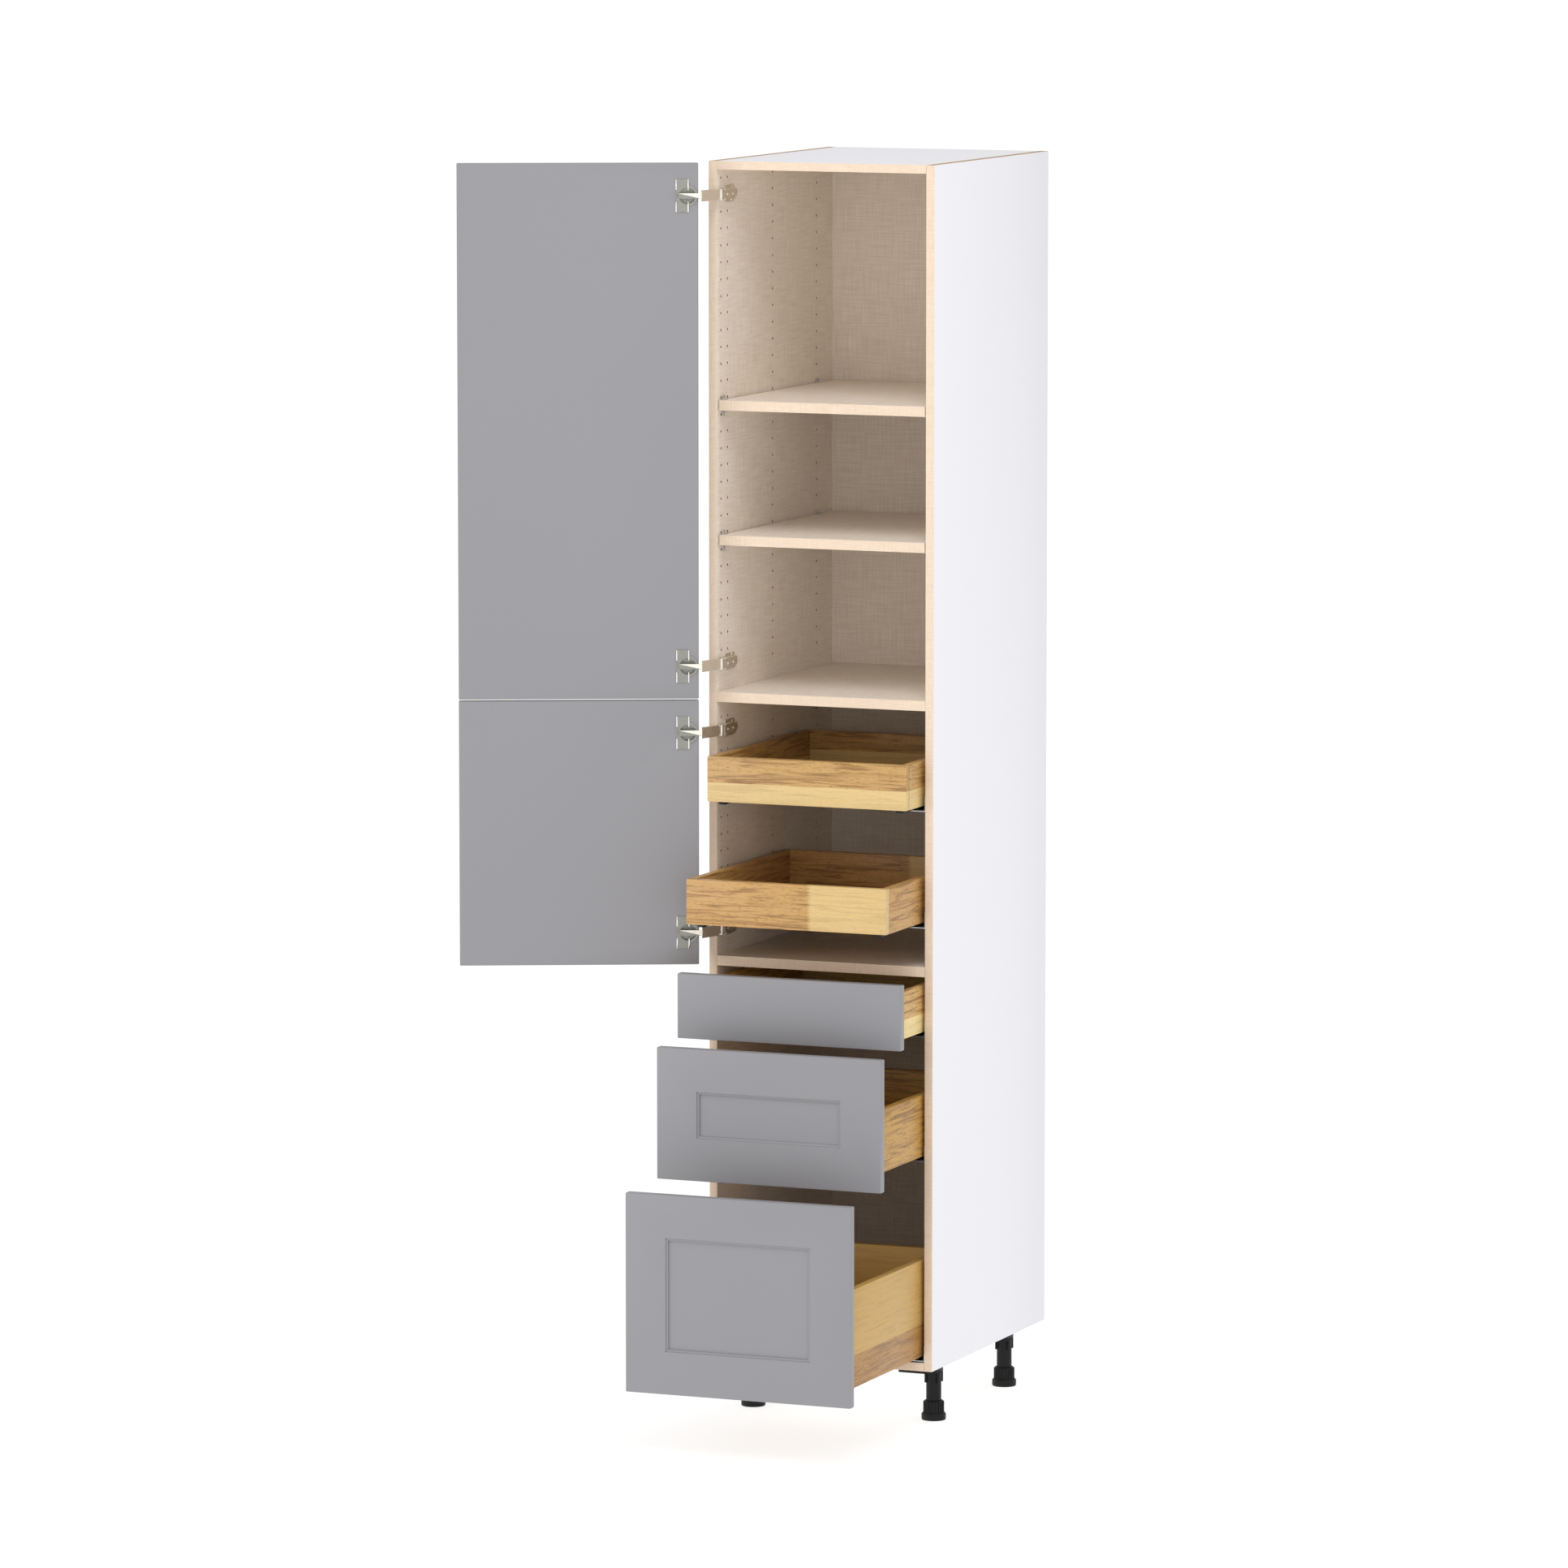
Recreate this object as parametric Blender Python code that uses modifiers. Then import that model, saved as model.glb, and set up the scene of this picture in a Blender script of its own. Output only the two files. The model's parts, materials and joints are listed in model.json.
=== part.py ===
"""Tall pantry cabinet with two doors, three drawers and two roll-out trays, at rest half open.

Every measurement is taken from the front lower left corner of the carcass: X to the right,
Y to the back, Z up from the underside of the bottom panel. One empty, the cabinet's root,
moves that corner so that the origin is under the middle of everything, on the floor.
"""

import math

import bmesh
import bpy
from mathutils import Matrix, Vector

MM = 0.001

# Carcass
WIDTH = 457.2 * MM
HEIGHT = 2286.0 * MM
DEPTH = 603.0 * MM
PANEL = 16.0 * MM
SHELF = 19.0 * MM
BACK = 6.0 * MM
BACK_INSET = 16.0 * MM
GROOVE_DEPTH = 7.0 * MM
RAIL_HEIGHT = 100.0 * MM
LOOSE_SHELF_GAP = 4.0 * MM
LOOSE_SHELF_SETBACK = 4.0 * MM
LOOSE_SHELF_REAR_GAP = 3.0 * MM
FIT = 0.3 * MM
INNER_LEFT = PANEL
INNER_RIGHT = WIDTH - PANEL
BACK_FRONT = DEPTH - BACK_INSET - BACK

# Heights at which the carcass divides, from its underside
DECK_CENTRE = 765.0 * MM
SPLIT_CENTRE = 1270.0 * MM
SPLIT_TOP = SPLIT_CENTRE + SHELF / 2
LOOSE_SHELF_SHARES = (0.301, 0.5595)
LOOSE_SHELF_TOPS = tuple(
    SPLIT_TOP + share * (HEIGHT - PANEL - SPLIT_TOP) for share in LOOSE_SHELF_SHARES
)

# Doors and drawer fronts, the lowest front at the foot of the carcass and the rest on top of it
REVEAL = 1.5 * MM
FRONT = 19.0 * MM
FRONT_GAP = 3.0 * MM
BUMPER = 3.0 * MM
FRAME_BORDER = 83.5 * MM
PANEL_SINK = 6.0 * MM
EASED_EDGE = 1.5 * MM
DOOR_ANGLE = math.radians(155.07)
DOOR_PIVOT = (-3.9 * MM, -28.87 * MM)
FRONT_HEIGHTS = (124.0 * MM, 251.0 * MM, 378.0 * MM)
FRAMED = (False, True, True)
DRAWER_OPEN = (137.7 * MM, 237.1 * MM, 387.0 * MM)
FRONT_LOW_3 = REVEAL
FRONT_LOW_2 = FRONT_LOW_3 + FRONT_HEIGHTS[2] + FRONT_GAP
FRONT_LOW_1 = FRONT_LOW_2 + FRONT_HEIGHTS[1] + FRONT_GAP
FRONT_LOWS = (FRONT_LOW_1, FRONT_LOW_2, FRONT_LOW_3)
LOWER_DOOR = (FRONT_LOW_1 + FRONT_HEIGHTS[0] + FRONT_GAP, SPLIT_CENTRE - FRONT_GAP / 2)
UPPER_DOOR = (SPLIT_CENTRE + FRONT_GAP / 2, HEIGHT - REVEAL)

# Undermount slides: a cabinet member on the wall and a runner that moves half as far as the box
SLIDE_SHEET = 1.5 * MM
SLIDE_START = 3.0 * MM
SLIDE_REAR_GAP = 78.0 * MM
SLIDE_DROP = 9.0 * MM
SLIDE_FLANGE = 30.0 * MM
SLIDE_LIP = 3.0 * MM
RUNNER_PLAY = 0.6 * MM
RUNNER_GAP = 1.0 * MM
RUNNER_WIDTH = 12.0 * MM
RUNNER_RISE = 5.0 * MM
RUNNER_START = 20.0 * MM
RUNNER_SHORT = 30.0 * MM
TRAY_RUNNER_SHORT = 90.0 * MM
BOTTOM_GAP = 2.3 * MM
SLIDE_LENGTH = BACK_FRONT - SLIDE_START - SLIDE_REAR_GAP
RUNNER_LENGTH = SLIDE_LENGTH - RUNNER_SHORT

# Drawer boxes, from the back of their fronts, and trays
BOX_SIDE_GAP = 6.35 * MM
BOX_REAR_GAP = 50.7 * MM
BOX_WALL = 15.0 * MM
BOX_HEIGHTS = (89.0 * MM, 118.6 * MM, 186.0 * MM)
BOX_RISES = (12.9 * MM, 28.9 * MM)
BOX_FLOOR = 6.0 * MM
BOX_EDGE = 0.8 * MM
UNDER_RECESS = 13.0 * MM
TRAY_SIDE_GAP = 10.0 * MM
TRAY_FRONT = 17.0 * MM
TRAY_HEIGHT = 86.0 * MM
TRAY_FLOOR = 10.0 * MM
TRAY_LIFT = (1078.5 * MM, 856.7 * MM)
TRAY_OUT = (71.0 * MM, 173.2 * MM)
TRAY_SETBACK = (45.0 * MM, 88.0 * MM)
TRAY_REAR_GAP = 3.0 * MM
BOX_LENGTH = BACK_FRONT + BUMPER - FIT - BOX_REAR_GAP
BOX_LIFT = (
    FRONT_LOW_1 + BOX_RISES[0],
    FRONT_LOW_2 + BOX_RISES[1],
    PANEL + BOTTOM_GAP + SLIDE_DROP,
)
TRAY_LENGTH = BACK_FRONT - max(TRAY_SETBACK) - TRAY_REAR_GAP
BOX_LEFT = PANEL + BOX_SIDE_GAP
BOX_RIGHT = WIDTH - PANEL - BOX_SIDE_GAP
TRAY_LEFT = PANEL + TRAY_SIDE_GAP
TRAY_RIGHT = WIDTH - PANEL - TRAY_SIDE_GAP
RUNNER_INSET = TRAY_SIDE_GAP + BOX_WALL + RUNNER_GAP
SLIDE_REACH = RUNNER_INSET + RUNNER_WIDTH + SLIDE_LIP

# Hinge cups, let into the doors
HINGE_INSET = 61.7 * MM
HINGE_SHEET = 1.2 * MM
CUP_BORE = 17.5 * MM
CUP_EDGE = 3.5 * MM
CUP_WALL = 1.7 * MM
CUP_DEPTH = 11.8 * MM
CUP_FLOOR_GAP = 1.0 * MM
FLANGE_LIP = 2.5 * MM
WING_NEAR = 1.9 * MM
WING_FAR = 20.8 * MM
WING_HEIGHT = 62.0 * MM
CUP_INSET = CUP_BORE + CUP_EDGE
HINGE_HEIGHTS = (
    UPPER_DOOR[1] - HINGE_INSET,
    UPPER_DOOR[0] + HINGE_INSET,
    LOWER_DOOR[1] - HINGE_INSET,
    LOWER_DOOR[0] + HINGE_INSET,
)

# Hinge arms on the cabinet's wall: a channel with a forked nose, on a plate with a heel
ARM_WIDTH = 19.2 * MM
ARM_LIFT = 2.0 * MM
ARM_RISE = 14.0 * MM
ARM_FRONT = 8.0 * MM
ARM_BACK = 60.0 * MM
ARM_PLATE = 3.0 * MM
ARM_PLATE_OVER = 6.0 * MM
ARM_PLATE_FRONT = 34.0 * MM
ARM_PLATE_BACK = 79.0 * MM
HEEL_LIFT = 1.0 * MM
HEEL_DROP = 7.0 * MM
HEEL_NARROW = 2.0 * MM
HEEL_FRONT = 52.0 * MM
HEEL_BACK = 85.0 * MM
FORK_SHEET = 2.0 * MM
FORK_LAP = 4.0 * MM
PIN_RADIUS = 2.0 * MM
PIN_SHORT = 0.5 * MM
PIN_PLAY = 0.3 * MM
EYE_RADIUS = 4.2 * MM
NOSE_STEP = 0.2 * MM
PIVOT_DROP = 4.0 * MM
PIVOT_AHEAD = 2.0 * MM
ARM_RIGHT = INNER_LEFT + ARM_RISE
ARM_PIVOT = (ARM_RIGHT - PIVOT_DROP, -PIVOT_AHEAD)

# Hinge links: an eye and a neck on the pin, a broad link, and a bar over the cup's plate
LINK_WIDTH = 21.0 * MM
LINK_SHEET = 4.0 * MM
LINK_START = 8.2 * MM
NECK_LENGTH = 16.0 * MM
BAR_WIDTH = 10.0 * MM
BAR_SHEET = 5.0 * MM
BAR_PROUD = 6.0 * MM
BAR_LAP = 2.0 * MM
BAR_ENDS = (-4.0 * MM, 38.0 * MM)

# Levelling legs, whose feet are measured from the floor
LEG_HEIGHT = 114.3 * MM
LEG_INSET = 42.0 * MM
LEG_FRONT = 117.0 * MM
LEG_REAR = 110.0 * MM
PLATE_DROP = 26.0 * MM
PLATE_INWARD = 73.0 * MM
PLATE_OUTWARD = 17.0 * MM
PLATE_FORE = 18.0 * MM
PLATE_AFT = 25.0 * MM
PLATE_EDGE = 3.0 * MM
TUBE_BORE = 11.0 * MM
TUBE_WALL = 3.5 * MM
BORE_ROOF = 4.0 * MM
STEM_TOP = 8.0 * MM
COLLAR_RADIUS = 20.2 * MM
COLLAR_RISE = 37.1 * MM
COLLAR_EDGE = 1.0 * MM
BASE_RADIUS = 23.5 * MM
BASE_RISE = 14.8 * MM
BASE_SLOPE = (2.5 * MM, 3.0 * MM)
BASE_EDGE = 1.0 * MM
TUBE_RADIUS = TUBE_BORE + TUBE_WALL
STEM_RADIUS = TUBE_BORE - FIT
COLLAR_TOP = COLLAR_RISE - LEG_HEIGHT
BASE_TOP = BASE_RISE - LEG_HEIGHT

# How far a cutter runs past the faces that it opens
OVERRUN = 5.0 * MM
ROUND_STEPS = 40
ROUND_SHARPNESS = math.radians(35)


def clear_scene():
    """Removes the startup objects."""
    for obj in list(bpy.data.objects):
        bpy.data.objects.remove(obj)


def new_collection(name, helper):
    """A collection of the scene, drawn as wire and left out of renders if it holds helpers."""
    made = bpy.data.collections.new(name)
    made.hide_render = helper
    bpy.context.scene.collection.children.link(made)
    return made


clear_scene()
CABINET = new_collection("pantry_cabinet", False)
CUTTERS = new_collection("pantry_cabinet_cutters", True)


def finish(name, colour, roughness, metallic=0.0):
    """A plain Principled material."""
    made = bpy.data.materials.new(name)
    made.use_nodes = True
    shader = made.node_tree.nodes["Principled BSDF"]
    shader.inputs["Base Color"].default_value = (*colour, 1.0)
    shader.inputs["Roughness"].default_value = roughness
    shader.inputs["Metallic"].default_value = metallic
    made.diffuse_color = (*colour, 1.0)
    return made


MELAMINE = ("melamine", (0.78, 0.78, 0.82), 0.5, 0.0)
LINEN = ("linen_board", (0.36, 0.29, 0.25), 0.6, 0.0)
GREY = ("satin_grey", (0.33, 0.33, 0.36), 0.45, 0.0)
HARDWOOD = ("rubberwood", (0.62, 0.42, 0.2), 0.5, 0.0)
NICKEL = ("nickel", (0.72, 0.7, 0.66), 0.25, 1.0)
ZINC = ("zinc_steel", (0.6, 0.61, 0.63), 0.35, 1.0)
PLASTIC = ("black_plastic", (0.02, 0.02, 0.022), 0.5, 0.0)


def add(name, mesh, where, parent):
    """An object of this mesh in a collection, placed in its parent's coordinates."""
    obj = bpy.data.objects.new(name, mesh)
    where.objects.link(obj)
    obj.parent = parent
    return obj


def empty(name, place, parent=None):
    """An empty that other objects hang from."""
    obj = bpy.data.objects.new(name, None)
    CABINET.objects.link(obj)
    obj.empty_display_size = 0.03
    obj.location = place
    obj.parent = parent
    return obj


def wear(obj, look):
    """Gives an object a material of its own, named after it."""
    name, colour, roughness, metallic = look
    obj.data.materials.append(finish(f"{obj.name}_{name}", colour, roughness, metallic))


def cuboid(name, low, high, parent, look=None):
    """A box between two corners. Without a look it is a helper."""
    low, high = Vector(low), Vector(high)
    mesh = bpy.data.meshes.new(name)
    shape = bmesh.new()
    bmesh.ops.create_cube(shape, size=1.0)
    bmesh.ops.scale(shape, vec=high - low, verts=shape.verts)
    shape.to_mesh(mesh)
    shape.free()
    obj = add(name, mesh, CABINET if look else CUTTERS, parent)
    obj.location = (low + high) / 2
    if look:
        wear(obj, look)
    else:
        obj.display_type = "WIRE"
    return obj


def cylinder(name, centre, radius, length, parent, axis="Z"):
    """A helper: a round bar about its centre, along one axis."""
    mesh = bpy.data.meshes.new(name)
    shape = bmesh.new()
    bmesh.ops.create_cone(
        shape,
        cap_ends=True,
        segments=ROUND_STEPS,
        radius1=radius,
        radius2=radius,
        depth=length,
    )
    if axis == "Y":
        turn = Matrix.Rotation(math.pi / 2, 4, "X")
        bmesh.ops.transform(shape, matrix=turn, verts=shape.verts)
    shape.to_mesh(mesh)
    shape.free()
    obj = add(name, mesh, CUTTERS, parent)
    obj.location = centre
    obj.display_type = "WIRE"
    return obj


def strap(name, start, end, sheet, half_height, parent, look=None):
    """A flat bar standing on its edge between two points in plan."""
    start, end = Vector(start), Vector(end)
    run = end - start
    half = Vector((run.length / 2, sheet / 2, half_height))
    obj = cuboid(name, -half, half, parent, look)
    obj.location = ((start.x + end.x) / 2, (start.y + end.y) / 2, 0.0)
    obj.rotation_euler.z = math.atan2(run.y, run.x)
    return obj


def combine(target, tool, operation):
    """Adds an exact Boolean with a helper object."""
    step = target.modifiers.new(f"{operation}_{tool.name}"[:60], "BOOLEAN")
    step.operation = operation
    step.solver = "EXACT"
    step.object = tool
    return target


def cut(target, tool):
    """Cuts a helper out of a piece."""
    return combine(target, tool, "DIFFERENCE")


def join(target, tool):
    """Joins a helper to a piece."""
    return combine(target, tool, "UNION")


def ease(obj, width):
    """Breaks the outer edges of a plain box."""
    step = obj.modifiers.new("eased_edges", "BEVEL")
    step.width = width
    step.segments = 1
    step.limit_method = "ANGLE"
    return obj


def smooth(obj):
    """Shades round faces smooth and keeps the corners sharp."""
    obj.data.shade_smooth()
    obj.data.set_sharp_from_angle(angle=ROUND_SHARPNESS)
    return obj


def turned(name, profile, place, parent, look):
    """A solid of revolution about Z. The profile runs down its outer side, top to bottom."""
    mesh = bpy.data.meshes.new(name)
    points = [(radius, 0.0, height) for radius, height in profile]
    edges = [(i, i + 1) for i in range(len(points) - 1)]
    mesh.from_pydata(points, edges, [])
    obj = add(name, mesh, CABINET, parent)
    obj.location = place
    step = obj.modifiers.new("turn", "SCREW")
    step.angle = math.tau
    step.steps = ROUND_STEPS
    step.render_steps = ROUND_STEPS
    step.use_merge_vertices = True
    step.merge_threshold = 0.00001
    step.use_smooth_shade = True
    wear(obj, look)
    return obj


def plan_turn(point, centre, angle):
    """A point in plan turned about a centre, clockwise seen from above."""
    x, y = point[0] - centre[0], point[1] - centre[1]
    c, s = math.cos(angle), math.sin(angle)
    return Vector((centre[0] + c * x + s * y, centre[1] - s * x + c * y))


def door_point(along, proud):
    """Where a point of an open door's inner face is: along from its hinged edge, proud of it."""
    return plan_turn((REVEAL + along, -BUMPER + proud), DOOR_PIVOT, DOOR_ANGLE)


def root_shift():
    """The carcass corner's place when the origin is under the middle of everything."""
    swung = [
        plan_turn((x, y), DOOR_PIVOT, DOOR_ANGLE).x
        for x in (REVEAL, WIDTH - REVEAL)
        for y in (-BUMPER, -BUMPER - FRONT)
    ]
    left = min(swung)
    front = -BUMPER - FRONT - max(DRAWER_OPEN)
    return (-(left + WIDTH) / 2, -(front + DEPTH) / 2, LEG_HEIGHT)


ROOT = empty("pantry_cabinet_root", root_shift())


def make_carcass():
    """Sides, top, bottom, back, rail and shelves."""
    groove_front = BACK_FRONT - FIT
    groove_back = BACK_FRONT + BACK + FIT
    for name, left in (("side_left", 0.0), ("side_right", WIDTH - PANEL)):
        side = cuboid(name, (left, 0, 0), (left + PANEL, DEPTH, HEIGHT), ROOT, MELAMINE)
        inner = INNER_LEFT - GROOVE_DEPTH if left == 0.0 else INNER_RIGHT - OVERRUN
        groove = cuboid(
            name + "_groove",
            (inner, groove_front, -OVERRUN),
            (inner + GROOVE_DEPTH + OVERRUN, groove_back, HEIGHT + OVERRUN),
            ROOT,
        )
        cut(side, groove)
    inner_left, inner_right = INNER_LEFT + FIT, INNER_RIGHT - FIT
    for name, low, look in (("top", HEIGHT - PANEL, MELAMINE), ("bottom", 0.0, LINEN)):
        board = cuboid(name, (inner_left, 0, low), (inner_right, DEPTH, low + PANEL), ROOT, look)
        start = low - OVERRUN if low else PANEL - GROOVE_DEPTH
        groove = cuboid(
            name + "_groove",
            (-OVERRUN, groove_front, start),
            (WIDTH + OVERRUN, groove_back, start + GROOVE_DEPTH + OVERRUN),
            ROOT,
        )
        cut(board, groove)
    edge = GROOVE_DEPTH - FIT
    cuboid(
        "back",
        (INNER_LEFT - edge, BACK_FRONT, PANEL - edge),
        (INNER_RIGHT + edge, BACK_FRONT + BACK, HEIGHT - PANEL + edge),
        ROOT,
        LINEN,
    )
    cuboid(
        "hanging_rail",
        (inner_left, BACK_FRONT + BACK + FIT, HEIGHT - PANEL - FIT - RAIL_HEIGHT),
        (inner_right, DEPTH, HEIGHT - PANEL - FIT),
        ROOT,
        LINEN,
    )
    for name, centre in (("deck", DECK_CENTRE), ("fixed_shelf", SPLIT_CENTRE)):
        cuboid(
            name,
            (inner_left, 0, centre - SHELF / 2),
            (inner_right, BACK_FRONT - FIT, centre + SHELF / 2),
            ROOT,
            LINEN,
        )
    for name, top in zip(("loose_shelf_low", "loose_shelf_high"), LOOSE_SHELF_TOPS):
        cuboid(
            name,
            (INNER_LEFT + LOOSE_SHELF_GAP, LOOSE_SHELF_SETBACK, top - SHELF),
            (INNER_RIGHT - LOOSE_SHELF_GAP, BACK_FRONT - LOOSE_SHELF_REAR_GAP, top),
            ROOT,
            LINEN,
        )


def make_leg(name, x, y, inward):
    """A leg's plate and tube, and the foot that slides in it."""
    hang = empty(name + "_axis", (x, y, 0.0), ROOT)
    ends = sorted((inward * PLATE_INWARD, -inward * PLATE_OUTWARD))
    leg = cuboid(
        name,
        (ends[0], -PLATE_FORE, -PLATE_DROP),
        (ends[1], PLATE_AFT, -FIT),
        hang,
        PLASTIC,
    )
    ease(leg, PLATE_EDGE)
    tube_top = -PLATE_DROP / 2
    tube_low = COLLAR_TOP + FIT
    middle = (tube_top + tube_low) / 2
    join(leg, cylinder(name + "_tube", (0, 0, middle), TUBE_RADIUS, tube_top - tube_low, hang))
    bore_top = -BORE_ROOF
    bore_low = tube_low - OVERRUN
    middle = (bore_top + bore_low) / 2
    cut(leg, cylinder(name + "_bore", (0, 0, middle), TUBE_BORE, bore_top - bore_low, hang))
    foot = turned(
        name.replace("leg", "foot"),
        (
            (0.0, -STEM_TOP),
            (STEM_RADIUS, -STEM_TOP),
            (STEM_RADIUS, COLLAR_TOP),
            (COLLAR_RADIUS - COLLAR_EDGE, COLLAR_TOP),
            (COLLAR_RADIUS, COLLAR_TOP - COLLAR_EDGE),
            (COLLAR_RADIUS, BASE_TOP),
            (BASE_RADIUS - BASE_SLOPE[0], BASE_TOP),
            (BASE_RADIUS, BASE_TOP - BASE_SLOPE[1]),
            (BASE_RADIUS, BASE_EDGE - LEG_HEIGHT),
            (BASE_RADIUS - BASE_EDGE, -LEG_HEIGHT),
            (0.0, -LEG_HEIGHT),
        ),
        (0, 0, 0),
        hang,
        PLASTIC,
    )
    return leg, foot


def make_front(name, low, high, framed, parent, look):
    """A door or drawer front in its closed place, relative to a parent at the carcass corner."""
    board = cuboid(
        name,
        (REVEAL, -BUMPER - FRONT, low),
        (WIDTH - REVEAL, -BUMPER, high),
        parent,
        look,
    )
    ease(board, EASED_EDGE)
    if framed:
        sink = cuboid(
            name + "_panel",
            (REVEAL + FRAME_BORDER, -BUMPER - FRONT - OVERRUN, low + FRAME_BORDER),
            (WIDTH - REVEAL - FRAME_BORDER, -BUMPER - FRONT + PANEL_SINK, high - FRAME_BORDER),
            parent,
        )
        cut(board, sink)
    return board


def make_cup(name, height, parent):
    """A hinge cup with its round flange and wing plate, let into the door, in the closed place."""
    x = REVEAL + CUP_INSET
    face = -BUMPER + FIT
    low = face - CUP_DEPTH
    cup = cuboid(
        name,
        (x - WING_NEAR, face, height - WING_HEIGHT / 2),
        (x + WING_FAR, face + HINGE_SHEET, height + WING_HEIGHT / 2),
        parent,
        NICKEL,
    )
    flange = (x, face + HINGE_SHEET / 2, height)
    flange_radius = CUP_BORE + FLANGE_LIP
    join(cup, cylinder(name + "_flange", flange, flange_radius, HINGE_SHEET, parent, "Y"))
    top = face + HINGE_SHEET / 2
    barrel = (x, (low + top) / 2, height)
    outer = CUP_BORE - FIT
    join(cup, cylinder(name + "_barrel", barrel, outer, top - low, parent, "Y"))
    floor = low + HINGE_SHEET
    mouth = face + HINGE_SHEET + OVERRUN
    hollow = (x, (floor + mouth) / 2, height)
    inner = outer - CUP_WALL
    cut(cup, cylinder(name + "_hollow", hollow, inner, mouth - floor, parent, "Y"))
    return smooth(cup)


def make_door(name, low, high, heights):
    """A door on its pivot, with a bore and a cup at each hinge."""
    pivot = empty(name + "_pivot", (*DOOR_PIVOT, 0.0), ROOT)
    corner = empty(name + "_corner", (-DOOR_PIVOT[0], -DOOR_PIVOT[1], 0.0), pivot)
    door = make_front(name, low, high, True, corner, GREY)
    bore_low = -BUMPER + FIT - CUP_DEPTH - CUP_FLOOR_GAP
    bore_high = -BUMPER + OVERRUN
    for number, height in enumerate(heights, 1):
        middle = (REVEAL + CUP_INSET, (bore_low + bore_high) / 2, height)
        bore_name = f"{name}_bore_{number}"
        cut(door, cylinder(bore_name, middle, CUP_BORE, bore_high - bore_low, corner, "Y"))
        make_cup(f"{name}_cup_{number}", height, corner)
    pivot.rotation_euler.z = -DOOR_ANGLE
    return door


def make_arm(name, base):
    """The arm on the cabinet's wall, with its plate, heel, forked nose and pin."""
    wide = ARM_WIDTH / 2
    wall = INNER_LEFT + FIT
    low = (wall + ARM_LIFT, ARM_FRONT, -wide)
    arm = cuboid(name + "_arm", low, (ARM_RIGHT, ARM_BACK, wide), base, NICKEL)
    low = (wall, ARM_PLATE_FRONT, -wide - ARM_PLATE_OVER)
    high = (wall + ARM_PLATE, ARM_PLATE_BACK, wide + ARM_PLATE_OVER)
    join(arm, cuboid(name + "_plate", low, high, base))
    low = (wall + HEEL_LIFT, HEEL_FRONT, HEEL_NARROW - wide)
    high = (ARM_RIGHT - HEEL_DROP, HEEL_BACK, wide - HEEL_NARROW)
    join(arm, cuboid(name + "_heel", low, high, base))
    x, y = ARM_PIVOT
    for side, sign in (("top", 1), ("low", -1)):
        inner, outer = sign * (wide - FORK_SHEET), sign * (wide - NOSE_STEP)
        low = (x - EYE_RADIUS + NOSE_STEP, y, min(inner, outer))
        high = (ARM_RIGHT - NOSE_STEP, ARM_FRONT + FORK_LAP, max(inner, outer))
        cheek = cuboid(f"{name}_cheek_{side}", low, high, base)
        middle = (x, y, sign * (wide - FORK_SHEET / 2 + NOSE_STEP / 2))
        nose_sheet = FORK_SHEET + 2 * NOSE_STEP
        disc = cylinder(f"{name}_nose_{side}", middle, EYE_RADIUS, nose_sheet, base)
        join(arm, cheek)
        join(arm, disc)
    pin_length = ARM_WIDTH - 2 * PIN_SHORT
    join(arm, cylinder(name + "_pin", (x, y, 0), PIN_RADIUS, pin_length, base))
    return smooth(arm)


def make_link(name, base):
    """The link that swings out of the arm to the open door's cup."""
    swing = empty(name + "_link_pivot", (*ARM_PIVOT, 0), base)
    kink = door_point(BAR_ENDS[0], BAR_PROUD) - Vector(ARM_PIVOT)
    tip = door_point(BAR_ENDS[1], BAR_PROUD) - Vector(ARM_PIVOT)
    half_eye = ARM_WIDTH / 2 - FORK_SHEET - FIT
    lead = kink.normalized()
    start = lead * LINK_START
    link = strap(name + "_link", start, kink, LINK_SHEET, LINK_WIDTH / 2, swing, NICKEL)
    neck_end = lead * NECK_LENGTH
    join(link, strap(name + "_neck", (0, 0), neck_end, LINK_SHEET, half_eye, swing))
    bar_start = kink - (tip - kink).normalized() * BAR_LAP
    join(link, strap(name + "_bar", bar_start, tip, BAR_SHEET, BAR_WIDTH / 2, swing))
    join(link, cylinder(name + "_eye", (0, 0, 0), EYE_RADIUS, 2 * half_eye, swing))
    bore = PIN_RADIUS + PIN_PLAY
    cut(link, cylinder(name + "_eye_bore", (0, 0, 0), bore, ARM_WIDTH, swing))
    return smooth(link)


def make_hinge(name, height):
    """A hinge's two pieces that aren't on the door."""
    base = empty(name + "_base", (0, 0, height), ROOT)
    return make_arm(name, base), make_link(name, base)


def make_box(name, left, right, length, low, height, front_wall, floor, parent):
    """A box of four walls and a raised floor, its front at the parent's zero."""
    box = cuboid(name, (left, 0, low), (right, length, low + height), parent, HARDWOOD)
    ease(box, BOX_EDGE)
    inside = cuboid(
        name + "_inside",
        (left + BOX_WALL, front_wall, low + UNDER_RECESS + floor),
        (right - BOX_WALL, length - BOX_WALL, low + height + OVERRUN),
        parent,
    )
    cut(box, inside)
    under = cuboid(
        name + "_under",
        (left + BOX_WALL, front_wall, low - OVERRUN),
        (right - BOX_WALL, length + OVERRUN, low + UNDER_RECESS),
        parent,
    )
    cut(box, under)
    return box


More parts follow.
